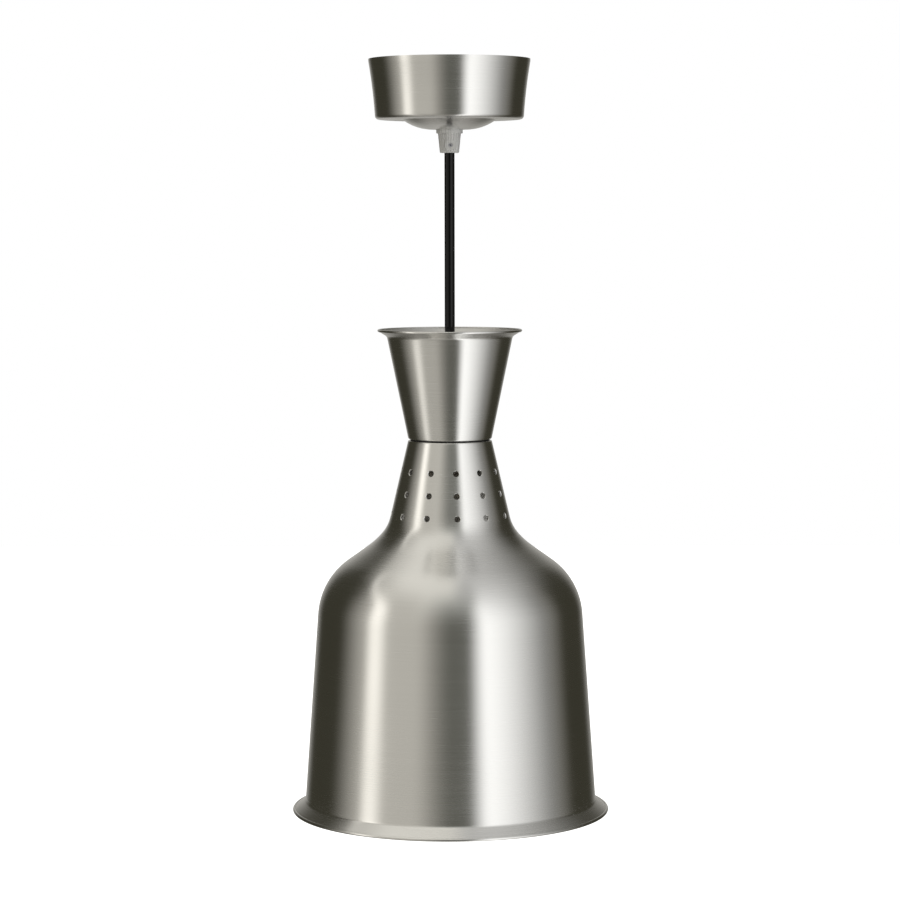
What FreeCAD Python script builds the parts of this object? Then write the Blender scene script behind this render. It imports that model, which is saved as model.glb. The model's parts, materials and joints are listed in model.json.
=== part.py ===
"""A pendant heat lamp: a spun metal shade that hangs on its cord from a ceiling canopy.

Frame: z = 0 is the ceiling plane, +Z is up and the cord runs down the Z axis. Millimetres.
The lamp's front, where the cord grips have their screws, faces -Y.
"""

import FreeCAD
import Part

import math
import os

# Cord and its three cores
cord_diameter = 7.3
cord_hang = 187.7  # free length, from the ceiling grip's mouth to the head grip's mouth
core_diameter = 2.4
core_spacing = 2.9  # live core to neutral core
earth_core_offset = 1.95
core_bend = 4.0

# Clearances
slip_gap = 0.1  # a tube or a screw in the hole that holds it
hang_gap = 0.3  # the free cord and the grips' mouths
cord_gap = 0.25  # the cord in a grip, on each side
bulb_gap = 0.45  # the bulb's cap in the screw shell, on each side

# Threaded tubes and their nuts
tube_diameter = 10.0
tube_bore = 8.2
tube_grip_depth = 8.0  # how far a tube reaches into a cord grip
tube_end_length = 1.8  # thread that stands out past a nut
nut_width = 14.0
nut_height = 3.0

# Small bends of turned and spun pieces, made of short flats
least_turned_arc = 12.0
flat_turn = 30.0  # degrees
bead_sides = 8

# Cord grips
grip_length = 16.7
grip_flange_diameter = 19.0
grip_flange_height = 2.8
grip_body_diameter = 16.5
grip_mouth_diameter = 13.7
grip_flute_count = 12
grip_flute_depth = 0.5
grip_flute_diameter = 2.4
grip_pad_width = 8.6
grip_pad_height = 6.4
grip_pad_face = 7.4  # from the cord's axis to the flat of the pad
grip_screw_diameter = 3.0
grip_screw_height = 11.3  # above the flange's face
grip_turn = 6.0  # degrees that the pad stands round from the front

# Ceiling canopy
canopy_wall = 1.0
canopy_rim_diameter = 116.0
canopy_waist_diameter = 109.2
canopy_floor_diameter = 106.4
canopy_depth = 43.0
canopy_waist_depth = 22.5
canopy_waist_bend = 430.0
canopy_corner_bend = 3.0
canopy_edge = 1.5  # upright edge that seats on the ceiling
boss_height = 7.2  # the domed boss under the canopy's floor
boss_foot_diameter = 67.8
boss_crown_diameter = 47.7
boss_bend = 36.0

# Ceiling strap
strap_sheet = 2.0
strap_width = 18.0
strap_drop = 20.0  # ceiling to the top of the bridge
strap_bridge = 66.0  # clear length between the legs
strap_length = 106.0
strap_bend = 3.0
strap_end_round = 3.0
slot_spacing = 88.0
slot_length = 12.0
slot_width = 5.0

# Terminal block on the strap
block_length = 16.0
block_pole_width = 9.0
block_pole_spacing = 12.0
block_height = 14.0
block_web_height = 7.0
block_start = 12.0  # from the cord's axis to the block's near face
block_round = 1.6
bore_height = 9.0  # the wire bores above the bridge
insert_diameter = 5.2
insert_bore = 2.9
insert_recess = 1.0
clamp_screw_diameter = 3.0
clamp_well_diameter = 4.4
fixing_screw_diameter = 3.0
block_screw_well_diameter = 6.2

# Earth terminals
ring_sheet = 0.8
ring_diameter = 7.6
ring_reach = 5.6  # screw to wire
ring_barrel_height = 5.0
ring_barrel_wall = 0.55
earth_screw_diameter = 3.5
earth_screw_offset = 20.0

# Upper cone, an open cup above the shade
cup_wall = 1.0
cup_lip_diameter = 103.0
cup_lip_height = 77.7
cup_flare_diameter = 90.7
cup_flare_height = 73.9
cup_flare_bend = 3.5
cup_floor_diameter = 60.2
cup_floor_bend = 1.2
cup_bead_diameter = 1.8

# Spacer between the cup and the shade
spacer_diameter = 57.2
spacer_thickness = 1.0

# Shade, each depth measured down from its flat top
shade_wall = 1.0
shade_top_diameter = 60.3
shade_top_bend = 1.2
neck_depth = 62.4
neck_diameter = 89.6
neck_bend = 28.0
flank_depth = 73.2
flank_diameter = 108.4
flank_bend = 58.0
shoulder_depth = 101.5
shoulder_diameter = 188.3
shoulder_bend = 51.0
skirt_depth = 261.0
skirt_diameter = 211.1
skirt_bend = 8.0
lip_depth = 268.4
lip_diameter = 228.2
lip_bead_diameter = 2.2

# Vent holes in the shade's neck
vent_diameter = 4.2
vent_columns = 12
vent_rows = 3
vent_first_depth = 21.7
vent_row_pitch = 15.8
vent_turn = 7.0  # degrees that the first column stands round from the front

# Lampholder and the stirrup that carries it
stirrup_washer_diameter = 24.0
stirrup_washer_thickness = 1.5
stirrup_sheet = 1.5
stirrup_width = 14.0
stirrup_drop = 18.7  # underside of the shade's washer to the top of the ceramic body
stirrup_leg_length = 34.7
stirrup_bend = 3.0
holder_diameter = 43.0
holder_height = 54.0
holder_flat = 41.0  # across the two flats that the stirrup's legs seat on
holder_round = 2.0
holder_mouth_diameter = 36.0
holder_mouth_depth = 8.5
holder_screw_diameter = 4.0
holder_screw_length = 8.0
holder_screw_depth = 8.0  # below the top of the body
shell_wall = 0.4
shell_length = 20.0
shell_end_gap = 8.0  # from the shell's lower end to the body's mouth face
contact_chamber_diameter = 24.0
contact_chamber_depth = 8.0
contact_strip = 0.5
contact_width = 6.0
contact_drop = 3.6
contact_rivet_diameter = 2.4
terminal_length = 8.0
terminal_width = 9.0
terminal_offset = 9.0  # from the axis to a terminal's near face

# Reflector bulb with a 27 mm screw cap
cap_diameter = 26.1
cap_wall = 0.4
cap_length = 22.5
cap_skirt_diameter = 29.2
contact_diameter = 9.6
contact_height = 1.5
insulator_height = 4.0
bulb_length = 172.0
bulb_diameter = 125.0
bulb_neck_diameter = 40.0
bulb_glass = 1.2
bulb_rise = 14.0  # glass from the cap's end to the full neck
bulb_neck_length = 34.0
bulb_bowl_length = 62.0
bulb_bowl_diameter = 88.0
bulb_rim_length = 106.0
bulb_rim_height = 14.0
bulb_face_diameter = 56.0
stem_diameter = 10.0
stem_length = 32.0
press_length = 10.0
press_thickness = 4.0
filament_ring_diameter = 24.0
filament_diameter = 1.6
filament_spans = 6
filament_depth = 66.0  # below the cap's end
lead_diameter = 1.0
support_count = 3

# Levels down the axis, worked out from the sizes above
cord_radius = cord_diameter / 2
tube_hole = tube_diameter / 2 + slip_gap
bridge_z = -strap_drop
canopy_seat_z = -(canopy_depth + boss_height)
ceiling_mouth_z = canopy_seat_z - grip_length
head_mouth_z = ceiling_mouth_z - cord_hang
cup_floor_z = head_mouth_z - grip_length
cup_base_z = cup_floor_z - cup_wall
shade_top_z = cup_base_z - spacer_thickness
shade_roof_z = shade_top_z - shade_wall
stirrup_z = shade_roof_z - stirrup_washer_thickness
head_nut_z = stirrup_z - stirrup_sheet
head_tube_end_z = head_nut_z - nut_height - tube_end_length
holder_z = shade_roof_z - stirrup_washer_thickness - stirrup_drop
holder_mouth_z = holder_z - holder_height
shell_foot_z = holder_mouth_z + shell_end_gap
shell_top_z = shell_foot_z + shell_length
chamber_z = shell_top_z + contact_chamber_depth
bulb_tip_z = shell_top_z + contact_chamber_depth - contact_drop - hang_gap
cap_top_z = bulb_tip_z - contact_height - insulator_height
cap_foot_z = cap_top_z - cap_length
shell_bore = cap_diameter / 2 + bulb_gap
bulb_face_z = bulb_tip_z - bulb_length

UP = FreeCAD.Vector(0, 0, 1)
AXIS_POINT = FreeCAD.Vector(0, 0, 0)


# --- Outlines and basic solids ---


def rounded_path(points, bends, least_arc=0):
    """Edges through the points, each inner corner rounded to its bend or to what its two runs have room for.

    A bend under the least arc is made of short flats, each turning by one flat turn at most.
    """
    inner = range(1, len(points) - 1)
    half_turns = [0.0] * len(points)
    for index in inner:
        before = points[index - 1] - points[index]
        after = points[index + 1] - points[index]
        half_turns[index] = (math.pi - before.getAngle(after)) / 2
    reaches = [bend * math.tan(half_turn) for bend, half_turn in zip(bends, half_turns)]

    edges = []
    start = points[0]
    for index in inner:
        corner = points[index]
        before = points[index - 1] - corner
        after = points[index + 1] - corner
        if reaches[index] == 0:
            edges.append(Part.LineSegment(start, corner).toShape())
            start = corner
            continue
        share = min(
            1,
            0.98 * before.Length / (reaches[index - 1] + reaches[index]),
            0.98 * after.Length / (reaches[index] + reaches[index + 1]),
        )
        radius = share * bends[index]
        before.normalize()
        after.normalize()
        first = corner + before * (share * reaches[index])
        last = corner + after * (share * reaches[index])
        inset = radius / math.cos(half_turns[index]) - radius
        middle = corner + (before + after).normalize() * inset
        arc = Part.Arc(first, middle, last).toShape()
        edges.append(Part.LineSegment(start, first).toShape())
        if radius < least_arc:
            flats = math.ceil(2 * half_turns[index] / math.radians(flat_turn))
            marks = arc.discretize(flats + 1)
            edges += [Part.LineSegment(a, b).toShape() for a, b in zip(marks, marks[1:])]
        else:
            edges.append(arc)
        start = last
    edges.append(Part.LineSegment(start, points[-1]).toShape())
    return edges


def upright_path(corners):
    """The rounded path through corners given as (distance from the axis, height, bend)."""
    points = [FreeCAD.Vector(across, 0, height) for across, height, _ in corners]
    bends = [bend for _, _, bend in corners]
    return rounded_path(points, bends, least_turned_arc)


def other_face(corners, wall):
    """The corners moved one wall to the right of the way they run, or to the left where the wall is negative."""
    points = [FreeCAD.Vector(across, 0, height) for across, height, _ in corners]
    runs = [(after - before).normalize() for before, after in zip(points, points[1:])]
    moved = []
    for index, (across, height, bend) in enumerate(corners):
        before = runs[max(index - 1, 0)]
        after = runs[min(index, len(runs) - 1)]
        right = FreeCAD.Vector(0, 1, 0).cross(before + after)
        shift = right * (wall / (1 + before.dot(after)))
        turn = math.copysign(1, before.cross(after).y)
        new_bend = max(bend - wall * turn, 0) if bend else 0
        moved.append((across + shift.x, height + shift.z, new_bend))
    return moved


def sheet_section(corners, wall, bead_diameter=0):
    """A sheet's section in the XZ plane, from its outer corners, with a round bead along its last end if asked."""
    outer = upright_path(corners)
    inner = upright_path(other_face(corners, wall))
    outer_ends = (outer[0].firstVertex().Point, outer[-1].lastVertex().Point)
    inner_ends = (inner[0].firstVertex().Point, inner[-1].lastVertex().Point)
    ends = [Part.LineSegment(a, b).toShape() for a, b in zip(outer_ends, inner_ends)]
    section = Part.Face(Part.Wire(Part.__sortEdges__(outer + inner + ends)))
    if bead_diameter:
        centre = (outer_ends[1] + inner_ends[1]) / 2
        circle = Part.makeCircle(bead_diameter / 2, centre, section.normalAt(0, 0))
        bead = Part.makePolygon(circle.discretize(bead_sides + 1))
        section = section.fuse(Part.Face(bead)).removeSplitter().Faces[0]
    return section


def spun(corners, wall, bead_diameter=0):
    """A spun sheet shell, from the corners of its outer face."""
    return sheet_section(corners, wall, bead_diameter).revolve(AXIS_POINT, UP, 360)


def turned(corners):
    """A turned solid, from the closed outline of its half section."""
    outline = Part.Wire(upright_path(corners + [corners[0]]))
    return Part.Face(outline).revolve(AXIS_POINT, UP, 360)


def bent_strip(corners, sheet, width):
    """A strip of sheet bent in the XZ plane, centred on it."""
    section = sheet_section(corners, sheet)
    section.translate(FreeCAD.Vector(0, -width / 2, 0))
    return section.extrude(FreeCAD.Vector(0, width, 0))


def bar(diameter, start, end):
    """A round bar between two points."""
    way = end - start
    return Part.makeCylinder(diameter / 2, way.Length, start, way)


def tube(outer_diameter, bore_diameter, start, end):
    """A round tube between two points."""
    return bar(outer_diameter, start, end).cut(bar(bore_diameter, start, end))


def block(size, centre):
    """A rectangular block about its centre."""
    corner = centre - FreeCAD.Vector(*size) / 2
    return Part.makeBox(*size, corner)


def round_wire(diameter, points, bend):
    """A wire along a path whose corners all have one bend."""
    path = Part.Wire(rounded_path(points, [bend] * len(points)))
    section = Part.Wire(Part.makeCircle(diameter / 2, points[0], points[1] - points[0]))
    return path.makePipeShell([section], True, False)


def hex_nut(top_z):
    """A hexagon nut on the lamp's axis, with flats towards +X and -X."""
    corner_radius = nut_width / 2 / math.cos(math.radians(30))
    corners = []
    for step in range(7):
        angle = math.radians(30 + 60 * step)
        place = FreeCAD.Vector(math.cos(angle), math.sin(angle), 0) * corner_radius
        corners.append(place + UP * (top_z - nut_height))
    prism = Part.Face(Part.makePolygon(corners)).extrude(UP * nut_height)
    return prism.cut(bar(2 * tube_hole, UP * (top_z - nut_height), UP * top_z))


def pan_screw(diameter, length, seat, way):
    """A slotted pan-head screw whose head seats at a point and whose shank runs along a way."""
    head_height = 0.6 * diameter
    head_diameter = 1.9 * diameter
    head = Part.makeCylinder(head_diameter / 2, head_height)
    slot = block((head_diameter, 0.25 * diameter, head_height), UP * head_height)
    screw = head.cut(slot).fuse(bar(diameter, AXIS_POINT, UP * -length)).removeSplitter()
    screw.Placement = FreeCAD.Placement(seat, FreeCAD.Rotation(UP, way * -1))
    return screw


def ring_terminal(screw_diameter, wire_diameter):
    """A ring terminal flat on z = 0 round the Z axis, with its barrel standing up beside it on +X."""
    barrel_diameter = wire_diameter + 2 * ring_barrel_wall
    ring = Part.makeCylinder(ring_diameter / 2, ring_sheet)
    tongue = block(
        (ring_reach, barrel_diameter, ring_sheet),
        FreeCAD.Vector(ring_reach / 2, 0, ring_sheet / 2),
    )
    foot = FreeCAD.Vector(ring_reach, 0, 0)
    barrel = bar(barrel_diameter, foot, foot + UP * ring_barrel_height)
    terminal = ring.fuse([tongue, barrel])
    hole = bar(screw_diameter + 2 * slip_gap, AXIS_POINT, UP * ring_sheet)
    socket = bar(wire_diameter + 2 * slip_gap, foot + UP * ring_sheet, foot + UP * ring_barrel_height)
    return terminal.cut([hole, socket]).removeSplitter()


# --- Cord and cord grips ---


def cord_grip():
    """A fluted cord grip that stands on z = 0 with its mouth up, and its clamp screw's pad towards -Y."""
    thread_depth = tube_grip_depth + 1.3
    cord_bore = cord_radius + cord_gap
    flange_radius = grip_flange_diameter / 2
    body_radius = grip_body_diameter / 2
    mouth_radius = grip_mouth_diameter / 2
    body = turned(
        [
            (0, 0, 0),
            (flange_radius, 0, 0),
            (flange_radius, grip_flange_height, 0.4),
            (body_radius, grip_flange_height, 0),
            (mouth_radius, grip_length, 0.6),
            (0, grip_length, 0),
        ]
    )
    flute_radius = grip_flute_diameter / 2
    lean = (body_radius - mouth_radius) / (grip_length - grip_flange_height)
    flutes = []
    for step in range(grip_flute_count):
        foot = FreeCAD.Vector(body_radius + flute_radius - grip_flute_depth, 0, grip_flange_height)
        way = FreeCAD.Vector(-lean, 0, 1)
        flute = Part.makeCylinder(flute_radius, 1.1 * grip_length, foot, way)
        flute.rotate(AXIS_POINT, UP, 360 * (step + 0.5) / grip_flute_count - 90)
        flutes.append(flute)
    pad_foot = grip_screw_height - grip_pad_height / 2
    pad = block(
        (grip_pad_width, grip_pad_face, grip_pad_height / 2),
        FreeCAD.Vector(0, -grip_pad_face / 2, pad_foot + grip_pad_height / 4),
    )
    arch_centre = FreeCAD.Vector(0, 0, grip_screw_height)
    arch = bar(grip_pad_width, arch_centre, arch_centre - FreeCAD.Vector(0, grip_pad_face, 0))
    arch = arch.common(block((grip_pad_width, 2 * grip_pad_face, grip_pad_height), arch_centre))
    screw_hole = bar(
        grip_screw_diameter + 2 * slip_gap,
        arch_centre,
        arch_centre - FreeCAD.Vector(0, flange_radius, 0),
    )
    bores = [
        Part.makeCylinder(tube_hole, thread_depth),
        Part.makeCylinder(cord_bore, grip_length),
        screw_hole,
    ]
    return body.cut(flutes).fuse([pad, arch]).cut(bores).removeSplitter()


def grip_screw():
    """The plain grub screw of a cord grip, from the cord's face to just inside the pad."""
    centre = UP * grip_screw_height
    inner = centre - FreeCAD.Vector(0, cord_radius + slip_gap / 2, 0)
    outer = centre - FreeCAD.Vector(0, grip_pad_face - 0.6, 0)
    screw = bar(grip_screw_diameter, inner, outer)
    slot = block((grip_screw_diameter, 0.8, 0.6), outer)
    return screw.cut(slot)


def at_ceiling_grip(shape):
    """A grip's piece turned mouth down under the canopy."""
    shape.rotate(AXIS_POINT, FreeCAD.Vector(0, 1, 0), 180)
    shape.rotate(AXIS_POINT, UP, grip_turn)
    shape.translate(UP * canopy_seat_z)
    return shape


def at_head_grip(shape):
    """A grip's piece set mouth up on the floor of the upper cone."""
    shape.rotate(AXIS_POINT, UP, grip_turn)
    shape.translate(UP * cup_floor_z)
    return shape


def free_cord():
    """The cord's free length, with round ends centred on the two points that it swings about."""
    top = UP * (ceiling_mouth_z - hang_gap - cord_radius)
    foot = UP * (head_mouth_z + hang_gap + cord_radius)
    ends = [Part.makeSphere(cord_radius, point) for point in (top, foot)]
    return bar(cord_diameter, top, foot).fuse(ends).removeSplitter()


# --- Ceiling side ---


def canopy():
    boss_z = canopy_seat_z
    floor_z = -canopy_depth
    return spun(
        [
            (tube_hole, boss_z, 0),
            (boss_crown_diameter / 2, boss_z, boss_bend),
            (boss_foot_diameter / 2, floor_z, 1.2),
            (canopy_floor_diameter / 2, floor_z, canopy_corner_bend),
            (canopy_waist_diameter / 2, -canopy_waist_depth, canopy_waist_bend),
            (canopy_rim_diameter / 2, -canopy_edge, 0),
            (canopy_rim_diameter / 2, 0, 0),
        ],
        -canopy_wall,
    )


def block_centre_x():
    return block_start + block_length / 2


def ceiling_strap():
    end = strap_length / 2
    leg = strap_bridge / 2
    strap = bent_strip(
        [
            (-end, 0, 0),
            (-leg, 0, strap_bend),
            (-leg, bridge_z, strap_bend - strap_sheet),
            (leg, bridge_z, strap_bend - strap_sheet),
            (leg, 0, strap_bend),
            (end, 0, 0),
        ],
        strap_sheet,
        strap_width,
    )
    corners = []
    for edge in strap.Edges:
        upright = abs(edge.tangentAt(edge.FirstParameter).z) > 0.99
        if upright and abs(edge.CenterOfMass.x) > end - slip_gap:
            corners.append(edge)
    strap = strap.makeFillet(strap_end_round, corners)

    below = UP * (bridge_z - strap_sheet)
    cuts = [bar(2 * tube_hole, below, UP * bridge_z)]
    for offset, diameter in (
        (block_centre_x(), fixing_screw_diameter),
        (-earth_screw_offset, earth_screw_diameter),
    ):
        place = FreeCAD.Vector(offset, 0, 0)
        cuts.append(bar(diameter + 2 * slip_gap, place + below, place + UP * bridge_z))
    straight = slot_length - slot_width
    for side in (-1, 1):
        middle = FreeCAD.Vector(side * slot_spacing / 2, 0, -strap_sheet / 2)
        cuts.append(block((straight, slot_width, strap_sheet), middle))
        for end_side in (-1, 1):
            foot = middle + FreeCAD.Vector(end_side * straight / 2, 0, -strap_sheet / 2)
            cuts.append(bar(slot_width, foot, foot + UP * strap_sheet))
    return strap.cut(cuts)


def mount_tube():
    top = UP * (bridge_z + nut_height + tube_end_length)
    foot = UP * (canopy_seat_z - tube_grip_depth)
    return tube(tube_diameter, tube_bore, top, foot)


def mount_tube_nuts():
    return Part.makeCompound([hex_nut(bridge_z + nut_height), hex_nut(bridge_z - strap_sheet)])


def pole_centres():
    """The middle of each wire bore in the terminal block."""
    return [
        FreeCAD.Vector(block_centre_x(), side * block_pole_spacing / 2, bridge_z + bore_height)
        for side in (-1, 1)
    ]


def clamp_places():
    """Where the four clamp screws stand over the block's bores."""
    reach = FreeCAD.Vector(block_length / 4, 0, 0)
    return [pole + reach * side for pole in pole_centres() for side in (-1, 1)]


def terminal_block():
    web = block(
        (block_length, block_pole_spacing, block_web_height),
        FreeCAD.Vector(block_centre_x(), 0, bridge_z + block_web_height / 2),
    )
    towers = []
    for pole in pole_centres():
        tower = block(
            (block_length, block_pole_width, block_height),
            FreeCAD.Vector(pole.x, pole.y, bridge_z + block_height / 2),
        )
        top_edges = []
        for edge in tower.Edges:
            along = abs(edge.tangentAt(edge.FirstParameter).x) > 0.99
            if along and edge.CenterOfMass.z > bridge_z + bore_height:
                top_edges.append(edge)
        towers.append(tower.makeFillet(block_round, top_edges))
    body = web.fuse(towers).removeSplitter()
    reach = FreeCAD.Vector(block_length / 2, 0, 0)
    inner_reach = reach - FreeCAD.Vector(insert_recess, 0, 0)
    cuts = []
    for pole in pole_centres():
        cuts.append(bar(insert_bore, pole - reach, pole + reach))
        cuts.append(bar(insert_diameter, pole - inner_reach, pole + inner_reach))
    for place in clamp_places():
        cuts.append(bar(clamp_well_diameter, place, place + UP * block_height))
    foot = FreeCAD.Vector(block_centre_x(), 0, bridge_z)
    cuts.append(bar(fixing_screw_diameter + 2 * slip_gap, foot, foot + UP * block_height))
    head_seat = foot + UP * block_web_height
    cuts.append(bar(block_screw_well_diameter, head_seat, foot + UP * block_height))
    return body.cut(cuts)


def terminal_inserts():
    reach = FreeCAD.Vector(block_length / 2 - insert_recess, 0, 0)
    holes = [
        bar(clamp_screw_diameter + 2 * slip_gap, place, place + UP * insert_diameter)
        for place in clamp_places()
    ]
    inserts = [
        tube(insert_diameter - 2 * slip_gap, insert_bore, pole - reach, pole + reach).cut(holes)
        for pole in pole_centres()
    ]
    return Part.makeCompound(inserts)


def clamp_screws():
    """The block's four slotted clamp screws, their tips on the cores."""
    screws = []
    for place in clamp_places():
        tip = place + UP * (core_diameter / 2 + slip_gap)
        top = FreeCAD.Vector(place.x, place.y, bridge_z + block_height - block_round)
        slot = block((clamp_screw_diameter, 0.7, 1.2), top)
        screws.append(bar(clamp_screw_diameter, tip, top).cut(slot))
    return Part.makeCompound(screws)


def block_screw():
    seat = FreeCAD.Vector(block_centre_x(), 0, bridge_z + block_web_height)
    return pan_screw(fixing_screw_diameter, block_web_height + strap_sheet + 2, seat, -UP)


def ceiling_earth_place():
    return FreeCAD.Vector(-earth_screw_offset, 0, bridge_z)


def ceiling_earth_ring():
    terminal = ring_terminal(earth_screw_diameter, core_diameter)
    terminal.translate(ceiling_earth_place())
    return terminal


def ceiling_earth_screw():
    seat = ceiling_earth_place() + UP * ring_sheet
    return pan_screw(earth_screw_diameter, ring_sheet + strap_sheet + 3, seat, -UP)


def cord_ceiling_end():
    """The sheathed end of the cord, from the grip's mouth up into the tube."""
    return bar(cord_diameter, UP * ceiling_mouth_z, UP * (bridge_z + nut_height))


def ceiling_pole_wire(side):
    """The live or neutral core, from the sheath's end to its bore in the terminal block."""
    start = FreeCAD.Vector(0, side * core_spacing / 2, bridge_z + nut_height)
    pole = pole_centres()[0 if side < 0 else 1]
    entry = pole - FreeCAD.Vector(block_length / 2, 0, 0)
    turn = FreeCAD.Vector(start.x, start.y, entry.z)
    points = [start, turn, entry - FreeCAD.Vector(core_bend, 0, 0), entry + FreeCAD.Vector(3, 0, 0)]
    return round_wire(core_diameter, points, core_bend)


def ceiling_earth_wire():
    """The earth core, in an arch from the sheath's end to its ring terminal."""
    start = FreeCAD.Vector(-earth_core_offset, 0, bridge_z + nut_height)
    arch_z = bridge_z + bore_height + core_bend / 2
    end_x = ceiling_earth_place().x + ring_reach
    points = [
        start,
        FreeCAD.Vector(start.x, 0, arch_z),
        FreeCAD.Vector(end_x, 0, arch_z),
        FreeCAD.Vector(end_x, 0, bridge_z + ring_sheet + slip_gap),
    ]
    return round_wire(core_diameter, points, core_bend)


# --- Lamp head ---


def upper_cone():
    """The open cup over the shade, with a flared lip rolled over a bead."""
    return spun(
        [
            (tube_hole, cup_base_z, 0),
            (cup_floor_diameter / 2, cup_base_z, cup_floor_bend),
            (cup_flare_diameter / 2, cup_base_z + cup_flare_height, cup_flare_bend),
            (cup_lip_diameter / 2, cup_base_z + cup_lip_height, 0),
        ],
        -cup_wall,
        cup_bead_diameter,
    )


def neck_spacer():
    return tube(spacer_diameter, 2 * tube_hole, UP * cup_base_z, UP * shade_top_z)


def neck_radius(depth):
    """The outer radius of the shade's straight neck at a depth below its top."""
    return (shade_top_diameter + (neck_diameter - shade_top_diameter) * depth / neck_depth) / 2


def vent_holes():
    """Three rows of drilled holes square to the neck's wall."""
    lean = math.atan((neck_diameter - shade_top_diameter) / 2 / neck_depth)
    way = FreeCAD.Vector(math.cos(lean), 0, math.sin(lean))
    drills = []
    for row in range(vent_rows):
        depth = vent_first_depth + vent_row_pitch * row
        middle = FreeCAD.Vector(neck_radius(depth), 0, shade_top_z - depth)
        for column in range(vent_columns):
            drill = bar(vent_diameter, middle - way * 3 * shade_wall, middle + way * shade_wall)
            drill.rotate(AXIS_POINT, UP, vent_turn - 90 + 360 * column / vent_columns)
            drills.append(drill)
    return drills


def shade():
    """The spun shade: flat top, vented conical neck, rounded shoulder, long skirt and flared lip."""
    shell = spun(
        [
            (tube_hole, shade_top_z, 0),
            (shade_top_diameter / 2, shade_top_z, shade_top_bend),
            (neck_diameter / 2, shade_top_z - neck_depth, neck_bend),
            (flank_diameter / 2, shade_top_z - flank_depth, flank_bend),
            (shoulder_diameter / 2, shade_top_z - shoulder_depth, shoulder_bend),
            (skirt_diameter / 2, shade_top_z - skirt_depth, skirt_bend),
            (lip_diameter / 2, shade_top_z - lip_depth, 0),
        ],
        shade_wall,
        lip_bead_diameter,
    )
    return shell.cut(vent_holes())


def head_tube():
    top = UP * (cup_floor_z + tube_grip_depth)
    return tube(tube_diameter, tube_bore, top, UP * head_tube_end_z)


def stirrup_washer():
    return tube(stirrup_washer_diameter, 2 * tube_hole, UP * shade_roof_z, UP * stirrup_z)


def holder_seat():
    """The outer face of each stirrup leg, from the axis."""
    return holder_flat / 2 + stirrup_sheet


def head_earth_place():
    """The stirrup's earth screw, under the bridge and clear of the nut."""
    return FreeCAD.Vector(-(holder_flat / 2 - ring_diameter / 2 - 2 * ring_sheet), 0, head_nut_z)


def holder_stirrup():
    """The U-shaped strip that hangs from the tube and holds the ceramic body by its two flats."""
    foot_z = stirrup_z - stirrup_leg_length
    stirrup = bent_strip(
        [
            (-holder_seat(), foot_z, 0),
            (-holder_seat(), stirrup_z, stirrup_bend),
            (holder_seat(), stirrup_z, stirrup_bend),
            (holder_seat(), foot_z, 0),
        ],
        stirrup_sheet,
        stirrup_width,
    )
    cuts = [bar(2 * tube_hole, UP * head_nut_z, UP * stirrup_z)]
    earth = head_earth_place()
    cuts.append(bar(earth_screw_diameter + 2 * slip_gap, earth, earth + UP * stirrup_sheet))
    screw_height = UP * (holder_z - holder_screw_depth)
    span = FreeCAD.Vector(holder_seat(), 0, 0)
    cuts.append(bar(holder_screw_diameter + 2 * slip_gap, screw_height - span, screw_height + span))
    return stirrup.cut(cuts)


def holder_screws():
    """The two screws that hold the ceramic body between the stirrup's legs."""
    screws = []
    for side in (-1, 1):
        seat = FreeCAD.Vector(side * holder_seat(), 0, holder_z - holder_screw_depth)
        inward = FreeCAD.Vector(-side, 0, 0)
        screws.append(pan_screw(holder_screw_diameter, holder_screw_length, seat, inward))
    return Part.makeCompound(screws)


def lampholder_body():
    """The glazed ceramic body, hollow below for the screw shell and the contact."""
    radius = holder_diameter / 2
    shell_seat = shell_bore + shell_wall + slip_gap
    body = turned(
        [
            (0, holder_z, 0),
            (radius, holder_z, holder_round),
            (radius, holder_mouth_z, holder_round),
            (holder_mouth_diameter / 2, holder_mouth_z, 0),
            (holder_mouth_diameter / 2, holder_mouth_z + holder_mouth_depth, 0),
            (shell_seat, holder_mouth_z + holder_mouth_depth, 0),
            (shell_seat, shell_top_z, 0),
            (contact_chamber_diameter / 2, shell_top_z, 0),
            (contact_chamber_diameter / 2, chamber_z, 0),
            (0, chamber_z, 0),
        ]
    )
    flat_depth = radius - holder_flat / 2
    leg_foot = stirrup_z - stirrup_leg_length
    cuts = []
    for side in (-1, 1):
        flat = FreeCAD.Vector(side * (radius - flat_depth / 2), 0, (holder_z + leg_foot) / 2)
        cuts.append(block((flat_depth, holder_diameter, holder_z - leg_foot), flat))
        screw_start = FreeCAD.Vector(side * holder_flat / 2, 0, holder_z - holder_screw_depth)
        screw_end = screw_start - FreeCAD.Vector(side * holder_screw_length, 0, 0)
        cuts.append(bar(holder_screw_diameter + 2 * slip_gap, screw_start, screw_end))
    rivet = contact_rivet_place()
    cuts.append(bar(contact_rivet_diameter + 2 * slip_gap, rivet, rivet + UP * 6))
    return body.cut(cuts)


def screw_shell():
    """The plated sleeve that takes the bulb's screw cap."""
    outer = 2 * (shell_bore + shell_wall)
    return tube(outer, 2 * shell_bore, UP * shell_top_z, UP * shell_foot_z)


def contact_rivet_place():
    return FreeCAD.Vector(contact_chamber_diameter / 4, 0, chamber_z)


def centre_contact():
    """The sprung strip that presses on the tip of the bulb."""
    reach = contact_chamber_diameter / 2 - 2
    upper = chamber_z - contact_strip
    lower = chamber_z - contact_drop + contact_strip
    strip = bent_strip(
        [
            (reach, upper, 0),
            (-reach, upper, 0.6),
            (-reach, lower + 1.2, 0.6),
            (0, lower, 4.0),
            (reach / 2, lower + 0.6, 0),
        ],
        contact_strip,
        contact_width,
    )
    rivet = contact_rivet_place()
    hole = bar(contact_rivet_diameter + 2 * slip_gap, rivet - UP * contact_strip, rivet)
    return strip.cut(hole)


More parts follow.
